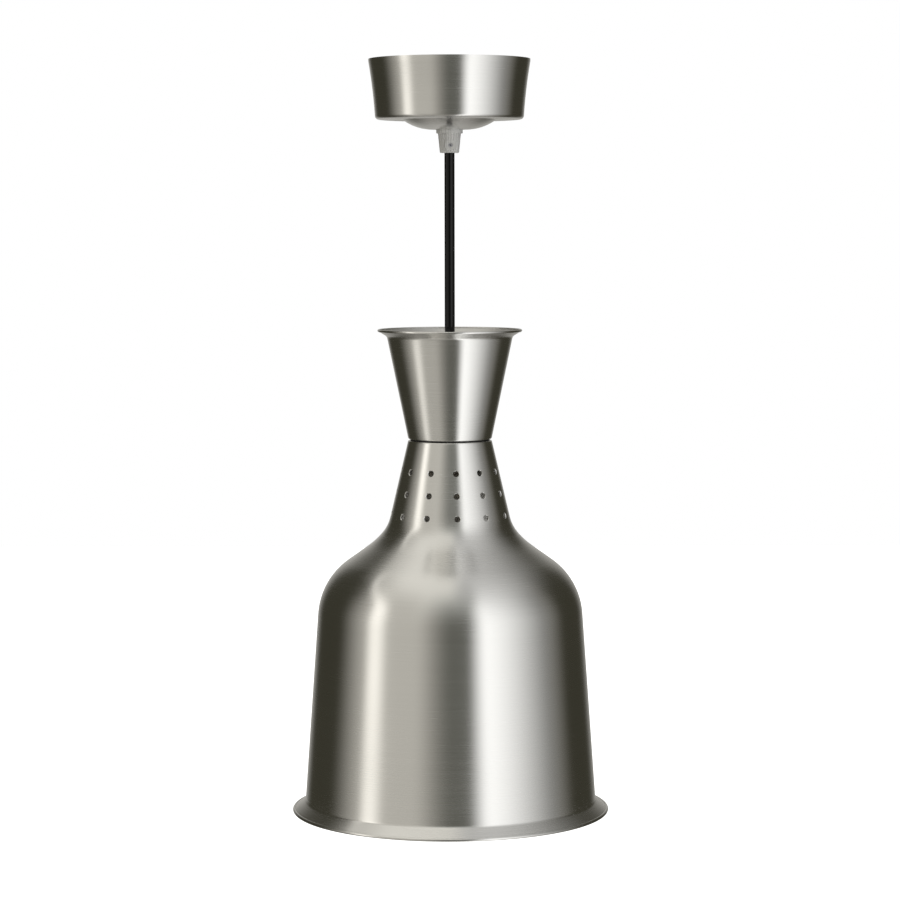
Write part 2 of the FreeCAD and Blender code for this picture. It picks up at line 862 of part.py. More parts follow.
def contact_rivet():
    seat = contact_rivet_place() - UP * contact_strip
    head = bar(1.7 * contact_rivet_diameter, seat - UP * 0.8, seat)
    return head.fuse(bar(contact_rivet_diameter, seat, seat + UP * 6)).removeSplitter()


def terminal_middles():
    """The middle of the two brass terminals' bases on top of the ceramic body."""
    middle = terminal_offset + terminal_length / 2
    return [FreeCAD.Vector(0, side * middle, holder_z) for side in (-1, 1)]


def holder_terminals():
    """Two brass clamps, bored for a core and tapped from the top for a screw."""
    terminals = []
    for middle in terminal_middles():
        body = block(
            (terminal_width, terminal_length, terminal_length),
            middle + UP * terminal_length / 2,
        )
        axis = middle + UP * terminal_length / 2
        span = FreeCAD.Vector(0, terminal_length / 2, 0)
        wire_hole = bar(insert_bore, axis - span, axis + span)
        tapping = bar(clamp_screw_diameter + 2 * slip_gap, axis, axis + UP * terminal_length)
        terminals.append(body.cut([wire_hole, tapping]))
    return Part.makeCompound(terminals)


def holder_terminal_screws():
    screws = []
    for middle in terminal_middles():
        tip = middle + UP * (terminal_length + core_diameter) / 2 + UP * slip_gap
        seat = middle + UP * (terminal_length + 1)
        screws.append(pan_screw(clamp_screw_diameter, (seat - tip).Length, seat, -UP))
    return Part.makeCompound(screws)


def cord_head_end():
    """The sheathed end of the cord, from the head grip's mouth down through the tube."""
    return bar(cord_diameter, UP * head_mouth_z, UP * (head_tube_end_z + tube_end_length))


def head_pole_wire(side):
    """The live or neutral core, down out of the tube and across into its terminal."""
    bore_z = holder_z + terminal_length / 2
    near = side * core_spacing / 2
    far = side * (terminal_offset + terminal_length / 2)
    points = [
        FreeCAD.Vector(0, near, head_tube_end_z + tube_end_length),
        FreeCAD.Vector(0, near, bore_z),
        FreeCAD.Vector(0, far, bore_z),
    ]
    return round_wire(core_diameter, points, core_bend)


def head_earth_ring():
    """The head's earth terminal, under the stirrup with its barrel pointing down."""
    terminal = ring_terminal(earth_screw_diameter, core_diameter)
    terminal.rotate(AXIS_POINT, FreeCAD.Vector(1, 0, 0), 180)
    terminal.rotate(AXIS_POINT, UP, -90)
    terminal.translate(head_earth_place())
    return terminal


def head_earth_screw():
    seat = head_earth_place() - UP * ring_sheet
    return pan_screw(earth_screw_diameter, ring_sheet + stirrup_sheet + 1, seat, UP)


def head_earth_wire():
    """The earth core, in a hanging loop from the tube's end up to its ring terminal."""
    earth = head_earth_place()
    loop_z = holder_z + core_diameter
    barrel = FreeCAD.Vector(earth.x, earth.y - ring_reach, 0)
    points = [
        FreeCAD.Vector(-earth_core_offset, 0, head_tube_end_z + tube_end_length),
        FreeCAD.Vector(-earth_core_offset, 0, loop_z),
        barrel + UP * loop_z,
        barrel + UP * (head_nut_z - ring_sheet - slip_gap),
    ]
    return round_wire(core_diameter, points, core_bend)


# --- Bulb ---


def bulb_contact():
    radius = contact_diameter / 2
    return turned(
        [
            (0, bulb_tip_z - contact_height, 0),
            (radius, bulb_tip_z - contact_height, 0),
            (radius, bulb_tip_z, contact_height),
            (0, bulb_tip_z, 0),
        ]
    )


def bulb_insulator():
    """The black glass cone between the tip and the cap."""
    top_z = bulb_tip_z - contact_height
    return turned(
        [
            (0, top_z, 0),
            (1.3 * contact_diameter / 2, top_z, 0),
            (cap_diameter / 2 - cap_wall, cap_top_z, 0),
            (0, cap_top_z, 0),
        ]
    )


def bulb_cap():
    """The bulb's metal screw cap, a thin sleeve with a flared skirt."""
    return spun(
        [
            (cap_diameter / 2 - 1.2, cap_top_z, 0),
            (cap_diameter / 2, cap_top_z, 0.6),
            (cap_diameter / 2, cap_foot_z + 3, 4.0),
            (cap_skirt_diameter / 2, cap_foot_z, 0),
        ],
        cap_wall,
    )


def bulb_glass_envelope():
    """The blown envelope: a narrow neck, a reflector bowl and a rounded face."""
    neck = bulb_neck_diameter / 2
    rim = bulb_diameter / 2
    return spun(
        [
            (cap_skirt_diameter / 2 - slip_gap, cap_foot_z - cap_wall, 0),
            (neck, cap_foot_z - bulb_rise, 14),
            (neck, cap_foot_z - bulb_neck_length, 14),
            (bulb_bowl_diameter / 2, cap_foot_z - bulb_bowl_length, 60),
            (rim, cap_foot_z - bulb_rim_length, 40),
            (rim, cap_foot_z - bulb_rim_length - bulb_rim_height, 10),
            (bulb_face_diameter / 2, bulb_face_z, 100),
            (0, bulb_face_z, 0),
        ],
        bulb_glass,
    )


def stem_foot_z():
    return cap_foot_z - stem_length


def bulb_stem():
    """The inner glass: a disc that closes the neck, a tube and the flat press that holds the leads."""
    disc_radius = cap_skirt_diameter / 2 - bulb_glass - 4 * slip_gap
    stem = turned(
        [
            (0, cap_foot_z, 0),
            (disc_radius, cap_foot_z, 0),
            (disc_radius, cap_foot_z - 1.5, 0),
            (stem_diameter / 2, cap_foot_z - 6, 6),
            (stem_diameter / 2, stem_foot_z(), 0),
            (0, stem_foot_z(), 0),
        ]
    )
    press = block(
        (stem_diameter, press_thickness, press_length),
        UP * (stem_foot_z() - press_length / 2),
    )
    return stem.fuse(press).removeSplitter()


def filament():
    """The tungsten coil's envelope: three quarters of a ring, open at the back."""
    height = UP * (cap_foot_z - filament_depth)
    ring = Part.Circle(height, UP, filament_ring_diameter / 2)
    marks = ring.toShape(math.radians(135), math.radians(405)).discretize(filament_spans + 1)
    spans = [bar(filament_diameter, a, b) for a, b in zip(marks, marks[1:])]
    joints = [Part.makeSphere(filament_diameter / 2, mark) for mark in marks[1:-1]]
    return spans[0].fuse(spans[1:] + joints).removeSplitter()


def ring_point(angle):
    """A point on the filament's ring, clear of the coil by half a lead."""
    reach = filament_ring_diameter / 2
    turn = math.radians(angle)
    flat = FreeCAD.Vector(reach * math.cos(turn), reach * math.sin(turn), 0)
    lift = (filament_diameter + lead_diameter) / 2 + slip_gap
    return flat + UP * (cap_foot_z - filament_depth + lift)


def filament_leads():
    """The two stiff leads from the press to the ends of the coil."""
    start_z = stem_foot_z() - press_length - lead_diameter / 2
    leads = []
    for side in (-1, 1):
        start = FreeCAD.Vector(side * stem_diameter / 4, 0, start_z)
        end = ring_point(90 - 45 * side)
        knee = FreeCAD.Vector(end.x / 2 + start.x / 2, end.y / 2, start_z - 4)
        leads.append(round_wire(lead_diameter, [start, knee, end], 3))
    return Part.makeCompound(leads)


def filament_supports():
    """Thin wires that carry the coil round its front."""
    start = UP * (stem_foot_z() - press_length - slip_gap)
    supports = []
    for index in range(support_count):
        angle = 270 + 75 * (index - (support_count - 1) / 2)
        end = ring_point(angle)
        foot = start + FreeCAD.Vector(end.x, end.y, 0) * 0.1
        supports.append(bar(lead_diameter / 2, foot, end))
    return Part.makeCompound(supports)


def pieces():
    """Every piece of the lamp, by its node's name."""
    return {
        "canopy": canopy(),
        "ceiling_strap": ceiling_strap(),
        "mount_tube": mount_tube(),
        "mount_tube_nuts": mount_tube_nuts(),
        "terminal_block": terminal_block(),
        "terminal_inserts": terminal_inserts(),
        "terminal_clamp_screws": clamp_screws(),
        "terminal_block_screw": block_screw(),
        "ceiling_earth_ring": ceiling_earth_ring(),
        "ceiling_earth_screw": ceiling_earth_screw(),
        "ceiling_live_wire": ceiling_pole_wire(1),
        "ceiling_neutral_wire": ceiling_pole_wire(-1),
        "ceiling_earth_wire": ceiling_earth_wire(),
        "cord_ceiling_end": cord_ceiling_end(),
        "ceiling_cord_grip": at_ceiling_grip(cord_grip()),
        "ceiling_grip_screw": at_ceiling_grip(grip_screw()),
        "cord": free_cord(),
        "head_cord_grip": at_head_grip(cord_grip()),
        "head_grip_screw": at_head_grip(grip_screw()),
        "cord_head_end": cord_head_end(),
        "upper_cone": upper_cone(),
        "neck_spacer": neck_spacer(),
        "shade": shade(),
        "head_tube": head_tube(),
        "head_tube_nut": hex_nut(head_nut_z),
        "stirrup_washer": stirrup_washer(),
        "holder_stirrup": holder_stirrup(),
        "holder_screws": holder_screws(),
        "lampholder_body": lampholder_body(),
        "screw_shell": screw_shell(),
        "centre_contact": centre_contact(),
        "contact_rivet": contact_rivet(),
        "holder_terminals": holder_terminals(),
        "holder_terminal_screws": holder_terminal_screws(),
        "head_live_wire": head_pole_wire(1),
        "head_neutral_wire": head_pole_wire(-1),
        "head_earth_wire": head_earth_wire(),
        "head_earth_ring": head_earth_ring(),
        "head_earth_screw": head_earth_screw(),
        "bulb_glass": bulb_glass_envelope(),
        "bulb_cap": bulb_cap(),
        "bulb_insulator": bulb_insulator(),
        "bulb_contact": bulb_contact(),
        "bulb_stem": bulb_stem(),
        "filament": filament(),
        "filament_leads": filament_leads(),
        "filament_supports": filament_supports(),
    }


def main():
    os.makedirs("parts", exist_ok=True)
    for name, shape in pieces().items():
        shape.exportStep(f"parts/{name}.step")
    swing_z = ceiling_mouth_z - hang_gap - cord_radius
    tilt_z = head_mouth_z + hang_gap + cord_radius
    print(f"the cord swings about z = {swing_z:.2f} and the head about z = {tilt_z:.2f}")
    print(f"the bulb's tip is at z = {bulb_tip_z:.2f} and its face at z = {bulb_face_z:.2f}")
    print("the cord hangs straight, so its route has no bends")


main()
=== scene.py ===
"""A pendant heat lamp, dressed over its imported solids: canopy, cord, cup, shade, lampholder and bulb.

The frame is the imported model's: metres, z = 0 at the ceiling, the lamp's front facing -Y.
The lamp's lengths are written in millimetres times MM, the studio's in metres.
"""

from __future__ import annotations

import json
import logging
import math
from contextlib import contextmanager
from dataclasses import dataclass
from enum import Enum
from typing import Any
from typing import Callable
from typing import Iterator
from typing import Mapping
from typing import NamedTuple
from typing import Sequence

import bpy
from mathutils import Matrix
from mathutils import Vector

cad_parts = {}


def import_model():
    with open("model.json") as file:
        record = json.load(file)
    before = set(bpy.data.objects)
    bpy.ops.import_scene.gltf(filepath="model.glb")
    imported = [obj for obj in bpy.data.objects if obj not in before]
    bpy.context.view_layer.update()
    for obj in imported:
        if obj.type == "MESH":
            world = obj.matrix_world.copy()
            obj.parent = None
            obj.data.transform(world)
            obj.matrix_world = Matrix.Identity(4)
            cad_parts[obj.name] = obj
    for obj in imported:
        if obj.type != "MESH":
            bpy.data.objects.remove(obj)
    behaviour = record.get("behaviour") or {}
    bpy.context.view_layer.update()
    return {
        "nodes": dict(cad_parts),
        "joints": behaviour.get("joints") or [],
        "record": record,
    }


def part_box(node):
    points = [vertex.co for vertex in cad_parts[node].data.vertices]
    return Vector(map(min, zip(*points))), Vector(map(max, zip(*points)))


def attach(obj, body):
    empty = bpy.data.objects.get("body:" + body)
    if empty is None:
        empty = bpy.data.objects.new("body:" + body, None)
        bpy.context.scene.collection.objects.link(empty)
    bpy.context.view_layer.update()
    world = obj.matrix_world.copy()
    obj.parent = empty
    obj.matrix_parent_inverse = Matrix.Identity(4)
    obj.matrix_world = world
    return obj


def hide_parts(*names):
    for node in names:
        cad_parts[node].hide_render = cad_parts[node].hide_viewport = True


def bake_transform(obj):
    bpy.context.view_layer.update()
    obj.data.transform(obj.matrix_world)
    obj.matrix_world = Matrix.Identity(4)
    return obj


MM = 0.001
FULL_TURN = 2 * math.pi
UP = Vector((0, 0, 1))

# The sharpest turn between two faces that is shaded smooth, and the widest turn and longest edge of an arc.
SMOOTH_ANGLE = math.radians(32)
ARC_STEP = math.radians(7)
LONGEST_EDGE = 6 * MM

# How near two points lie that are merged, the shortest run drawn, and how much of a run its bends may take.
MERGE_DISTANCE = 0.002 * MM
SHORTEST_RUN = 0.001 * MM
BEND_ROOM = 0.98

# How far a drill runs past the face that it enters.
OVERRUN = 1 * MM

# A sheet's face is an inside one if it looks this far towards the axis, or this far down.
FACING_IN = -0.1 * MM
FACING_DOWN = -0.99

# The parts of a noise pattern's values that are spread out to its full range.
WIDE = (0.3, 0.7)
NARROW = (0.35, 0.65)

log = logging.getLogger("heat_lamp")

Colour = tuple[float, float, float]
Span = tuple[float, float]
Feed = Any


# --- Modelling helpers ---


class Corner(NamedTuple):
    """A corner of an outline: distance from the axis, height, and the radius that it is bent to."""

    across: float
    height: float
    bend: float = 0.0

    def point(self) -> Vector:
        """Give the corner's place in the XZ plane."""
        return Vector((self.across, 0.0, self.height))


def on_axis(height: float) -> Vector:
    """Give the point on the Z axis at a height."""
    return Vector((0, 0, height))


def deselect_all() -> None:
    """Leave object mode on and nothing selected."""
    if bpy.context.mode != "OBJECT":
        bpy.ops.object.mode_set(mode="OBJECT")
    bpy.ops.object.select_all(action="DESELECT")


def activate(piece: bpy.types.Object) -> None:
    """Make one piece the only one selected, and the active one.

    Args:
        piece: The object to work on.
    """
    deselect_all()
    piece.select_set(True)
    bpy.context.view_layer.objects.active = piece


@contextmanager
def editing(piece: bpy.types.Object) -> Iterator[None]:
    """Hold a piece open in edit mode, at first with all of it selected.

    Args:
        piece: The object to edit.

    Yields:
        Nothing. The mesh operators work on the piece until the block ends.
    """
    activate(piece)
    bpy.ops.object.mode_set(mode="EDIT")
    bpy.ops.mesh.select_all(action="SELECT")
    yield
    bpy.ops.object.mode_set(mode="OBJECT")


def pick_faces(piece: bpy.types.Object, wanted: Callable[[bpy.types.MeshPolygon], bool]) -> None:
    """Select the faces of a piece that pass a test, and open it in edit mode.

    Args:
        piece: The object whose faces are looked at.
        wanted: Says whether a face is to be selected.
    """
    activate(piece)
    bpy.ops.object.mode_set(mode="EDIT")
    bpy.ops.mesh.select_mode(type="FACE")
    bpy.ops.mesh.select_all(action="DESELECT")
    bpy.ops.object.mode_set(mode="OBJECT")
    for face in piece.data.polygons:
        face.select = wanted(face)
    bpy.ops.object.mode_set(mode="EDIT")


def close_up(piece: bpy.types.Object, smooth_angle: float = SMOOTH_ANGLE) -> bpy.types.Object:
    """Merge a piece's doubles, turn its faces outwards and smooth it up to an angle.

    Args:
        piece: The object to finish.
        smooth_angle: The sharpest turn between two faces that is still shaded smooth.

    Returns:
        The same object.
    """
    with editing(piece):
        bpy.ops.mesh.remove_doubles(threshold=MERGE_DISTANCE)
        bpy.ops.mesh.normals_make_consistent(inside=False)
    bpy.ops.object.shade_smooth_by_angle(angle=smooth_angle)
    return piece


def apply_modifier(piece: bpy.types.Object, kind: str, **settings: Any) -> None:
    """Add a modifier to a piece, set it and apply it.

    Args:
        piece: The object that gets the modifier.
        kind: The modifier's type.
        settings: The modifier's properties by name.
    """
    activate(piece)
    modifier = piece.modifiers.new(kind.title(), kind)
    for name, value in settings.items():
        setattr(modifier, name, value)
    bpy.ops.object.modifier_apply(modifier=modifier.name)


def cut(piece: bpy.types.Object, cutter: bpy.types.Object) -> None:
    """Take a closed cutter's volume out of a piece and throw the cutter away."""
    apply_modifier(piece, "BOOLEAN", operation="DIFFERENCE", solver="EXACT", object=cutter)
    bpy.data.objects.remove(cutter)


def weld(piece: bpy.types.Object, other: bpy.types.Object) -> None:
    """Unite another closed object with a piece and throw the other away."""
    apply_modifier(piece, "BOOLEAN", operation="UNION", solver="EXACT", object=other)
    bpy.data.objects.remove(other)


def join(pieces: Sequence[bpy.types.Object]) -> bpy.types.Object:
    """Make one object of several.

    Args:
        pieces: The objects, the first of which keeps its name.

    Returns:
        The joined object.
    """
    activate(pieces[0])
    for piece in pieces[1:]:
        piece.select_set(True)
    bpy.ops.object.join()
    return pieces[0]


def settle(piece: bpy.types.Object) -> bpy.types.Object:
    """Move a piece's place, turn and scale into its mesh.

    Args:
        piece: The object to settle.

    Returns:
        The same object, at the origin.
    """
    activate(piece)
    bpy.ops.object.transform_apply(location=True, rotation=True, scale=True)
    return piece


class Pen:
    """Draws an outline in the XZ plane by extruding and spinning one vertex in edit mode."""

    def __init__(self, name: str, start: Vector, longest: float) -> None:
        """Start a new object as a single vertex.

        Args:
            name: The new object's name.
            start: Where the outline starts.
            longest: The longest edge that the outline may have.
        """
        deselect_all()
        bpy.ops.mesh.primitive_plane_add(size=MM)
        self.piece = bpy.context.active_object
        self.piece.name = name
        self.at = start
        self.longest = longest
        bpy.ops.object.mode_set(mode="EDIT")
        bpy.ops.mesh.select_mode(type="VERT")
        bpy.ops.mesh.merge(type="CENTER")
        bpy.ops.transform.translate(value=start)

    def run_to(self, end: Vector) -> None:
        """Draw a straight run, in equal steps.

        Args:
            end: Where the run ends.
        """
        way = end - self.at
        if way.length < SHORTEST_RUN:
            return
        count = math.ceil(way.length / self.longest)
        for _ in range(count):
            bpy.ops.mesh.extrude_region_move(TRANSFORM_OT_translate={"value": way / count})
        self.at = end

    def bend_to(self, end: Vector, centre: Vector, turn: float) -> None:
        """Draw an arc, as a spin of the last vertex, which turns against the angle that it is given.

        Args:
            end: Where the arc ends.
            centre: The arc's centre.
            turn: The angle of the arc, positive for a bend to the right.
        """
        length = abs(turn) * (self.at - centre).length
        count = max(math.ceil(abs(turn) / ARC_STEP), math.ceil(length / self.longest))
        bpy.ops.mesh.spin(steps=count, angle=-turn, center=centre, axis=(0, 1, 0), use_auto_merge=False)
        self.at = end


def fillet(
    before: Vector, corner: Corner, after: Vector, share: float
) -> tuple[Vector, Vector, Vector, float]:
    """Work out the arc that rounds a corner.

    Args:
        before: The corner before it.
        corner: The corner to round.
        after: The corner after it.
        share: How much of its bend there is room for, from 0 to 1.

    Returns:
        The arc's start, end and centre, and its turn, positive to the right.
    """
    middle = corner.point()
    back = (before - middle).normalized()
    onward = (after - middle).normalized()
    half_turn = (math.pi - back.angle(onward)) / 2
    radius = share * corner.bend
    reach = radius * math.tan(half_turn)
    side = math.copysign(1, -back.z * onward.x + back.x * onward.z)
    centre = middle + (back + onward).normalized() * (radius / math.cos(half_turn))
    return middle + back * reach, middle + onward * reach, centre, 2 * half_turn * side


def reach_of(before: Vector, corner: Corner, after: Vector) -> float:
    """Give the length that a corner's full bend takes from each of its two runs.

    Args:
        before: The corner before it.
        corner: The corner.
        after: The corner after it.

    Returns:
        The length from the corner to where its arc starts.
    """
    middle = corner.point()
    turn = math.pi - (before - middle).angle(after - middle)
    return corner.bend * math.tan(turn / 2)


def draw_outline(name: str, corners: Sequence[Corner], closed: bool, longest: float) -> bpy.types.Object:
    """Draw an outline through corners, each rounded to its bend or to what its two runs have room for.

    Args:
        name: The new object's name.
        corners: The corners in order.
        closed: Whether the outline runs back from the last corner to the first.
        longest: The longest edge that the outline may have.

    Returns:
        The outline, in object mode.
    """
    points = [corner.point() for corner in corners]
    last = len(corners) - 1
    rounded = range(len(corners)) if closed else range(1, last)
    reaches = [0.0] * len(corners)
    for index in rounded:
        after = (index + 1) % len(corners)
        reaches[index] = reach_of(points[index - 1], corners[index], points[after])

    pen = Pen(name, points[0], longest)
    first_arc = None
    for index, corner in enumerate(corners):
        if reaches[index] == 0:
            if index:
                pen.run_to(points[index])
            continue
        after = (index + 1) % len(corners)
        share = min(
            1,
            BEND_ROOM * (points[index] - points[index - 1]).length / (reaches[index - 1] + reaches[index]),
            BEND_ROOM * (points[after] - points[index]).length / (reaches[index] + reaches[after]),
        )
        start, end, centre, turn = fillet(points[index - 1], corner, points[after], share)
        if index == 0:
            bpy.ops.transform.translate(value=start - pen.at)
            pen.at = start
            first_arc = start
        pen.run_to(start)
        pen.bend_to(end, centre, turn)
    if closed:
        pen.run_to(first_arc or points[0])
    bpy.ops.object.mode_set(mode="OBJECT")
    return pen.piece


def spin_round(piece: bpy.types.Object, sides: int) -> bpy.types.Object:
    """Spin an outline a full turn about the Z axis and close it up.

    Args:
        piece: The outline.
        sides: The number of faces round the axis.

    Returns:
        The turned piece.
    """
    with editing(piece):
        bpy.ops.mesh.spin(steps=sides, angle=FULL_TURN, center=(0, 0, 0), axis=UP, use_auto_merge=True)
    return close_up(piece)


def repeat_round(piece: bpy.types.Object, count: int) -> bpy.types.Object:
    """Repeat a piece evenly round the Z axis, within its own mesh.

    Args:
        piece: The piece to repeat.
        count: How many there are in all.

    Returns:
        The same object.
    """
    rest = FULL_TURN * (count - 1) / count
    with editing(piece):
        bpy.ops.mesh.spin(steps=count - 1, dupli=True, angle=rest, center=(0, 0, 0), axis=UP)
        bpy.ops.mesh.select_all(action="SELECT")
        bpy.ops.mesh.normals_make_consistent(inside=False)
    return piece


def turned(
    name: str, corners: Sequence[Corner], sides: int = 96, longest: float = LONGEST_EDGE
) -> bpy.types.Object:
    """Turn a solid whose outline starts and ends on the axis."""
    return spin_round(draw_outline(name, corners, False, longest), sides)


def ring(
    name: str, corners: Sequence[Corner], sides: int = 96, longest: float = LONGEST_EDGE
) -> bpy.types.Object:
    """Turn a solid whose outline is closed and clear of the axis."""
    return spin_round(draw_outline(name, corners, True, longest), sides)


def rod(diameter: float, start: Vector, end: Vector, sides: int = 40) -> bpy.types.Object:
    """Make a plain round rod between two points.

    Args:
        diameter: The rod's diameter.
        start: Where it starts.
        end: Where it ends.
        sides: The number of faces round it.

    Returns:
        The rod.
    """
    way = end - start
    deselect_all()
    bpy.ops.mesh.primitive_cylinder_add(
        vertices=sides,
        radius=diameter / 2,
        depth=way.length,
        location=(start + end) / 2,
        rotation=way.to_track_quat("Z", "Y").to_euler(),
    )
    return settle(bpy.context.active_object)


@dataclass(frozen=True)
class Thread:
    """A round right-hand thread rolled into a thin wall.

    The middle is the radius of the wall's middle. The swing is how far the thread's corners, before
    they are rounded, lie from it. The bend is a share of the pitch, and the lead is the turns that
    start below the tube's foot.
    """

    middle: float
    swing: float
    pitch: float
    wall: float
    sides: int = 48
    bend: float = 0.3
    lead: float = 1.5

    def tube(self, name: str, foot: float, top: float) -> bpy.types.Object:
        """Roll the thread into a tube with flat ends.

        Args:
            name: The new object's name.
            foot: The height of the tube's lower end.
            top: The height of its upper end.

        Returns:
            The tube, a closed solid.
        """
        start = foot - self.lead * self.pitch
        wave = [
            Corner(self.middle, start),
            Corner(self.middle + self.swing, start + self.pitch / 4, self.bend * self.pitch),
            Corner(self.middle - self.swing, start + 3 * self.pitch / 4, self.bend * self.pitch),
            Corner(self.middle, start + self.pitch),
        ]
        tube = draw_outline(name, wave, False, self.pitch)
        turns = math.ceil((top - start) / self.pitch) + 1
        steps = {"steps": self.sides, "render_steps": self.sides}
        apply_modifier(tube, "SCREW", screw_offset=self.pitch, iterations=turns, **steps)
        with editing(tube):
            bpy.ops.mesh.remove_doubles(threshold=MERGE_DISTANCE)
            bpy.ops.mesh.bisect(plane_co=on_axis(foot), plane_no=UP, clear_inner=True)
            bpy.ops.mesh.select_all(action="SELECT")
            bpy.ops.mesh.bisect(plane_co=on_axis(top), plane_no=UP, clear_outer=True)
            bpy.ops.mesh.select_all(action="SELECT")
            bpy.ops.mesh.normals_make_consistent(inside=False)
        apply_modifier(tube, "SOLIDIFY", thickness=self.wall, offset=0, use_even_offset=True)
        return close_up(tube)


def other_face(corners: Sequence[Corner], wall: float) -> list[Corner]:
    """Move an outline by the thickness of its wall.

    Args:
        corners: The corners of the sheet's outer face.
        wall: The wall, positive to the right of the way the corners run, negative to the left.

    Returns:
        The corners of the sheet's other face, in the same order.
    """
    points = [corner.point() for corner in corners]
    runs = [(after - before).normalized() for before, after in zip(points, points[1:])]
    moved = []
    for index, corner in enumerate(corners):
        before = runs[max(index - 1, 0)]
        after = runs[min(index, len(runs) - 1)]
        both = before + after
        shift = Vector((both.z, 0, -both.x)) * (wall / (1 + before.dot(after)))
        turn = math.copysign(1, before.z * after.x - before.x * after.z)
        bend = max(corner.bend - wall * turn, 0) if corner.bend else 0
        moved.append(Corner(corner.across + shift.x, corner.height + shift.z, bend))
    return moved


def bead_corners(outer: Corner, inner: Corner, way: Vector, diameter: float) -> list[Corner]:
    """Give the corners of the round bead that a sheet's edge is rolled into.

    Args:
        outer: The last corner of the sheet's outer face.
        inner: The last corner of its inner face.
        way: The direction in which the sheet runs out.
        diameter: The bead's diameter.

    Returns:
        The corners from the outer face round to the inner one.
    """
    middle = (outer.point() + inner.point()) / 2
    half_wall = (outer.point() - inner.point()) / 2
    out = half_wall.normalized() * (diameter / 2)
    along = way.normalized() * (diameter / 2)
    places = [
        (middle - along + half_wall, 0),
        (middle - along + out, diameter / 2),
        (middle + along + out, diameter / 2),
        (middle + along - out, diameter / 2),
        (middle - along - out, diameter / 2),
        (middle - along - half_wall, 0),
    ]
    return [Corner(place.x, place.z, bend) for place, bend in places]


def spun_sheet(
    name: str,
    corners: Sequence[Corner],
    wall: float,
    bead: float = 0.0,
    sides: int = 192,
    longest: float = LONGEST_EDGE,
) -> bpy.types.Object:
    """Spin a sheet with an even wall, its last edge rolled over a bead if asked.

    Args:
        name: The new object's name.
        corners: The corners of the sheet's outer face.
        wall: The wall, positive to the right of the way the corners run, negative to the left.
        bead: The bead's diameter, or nothing for a plain edge.
        sides: The number of faces round the axis.
        longest: The longest edge of the outline.

    Returns:
        The spun sheet, a closed solid.
    """
    inner = other_face(corners, wall)
    way = corners[-1].point() - corners[-2].point()
    edge = bead_corners(corners[-1], inner[-1], way, bead) if bead else [corners[-1], inner[-1]]
    return ring(name, [*corners[:-1], *edge, *reversed(inner[:-1])], sides, longest)


# --- Finishes ---


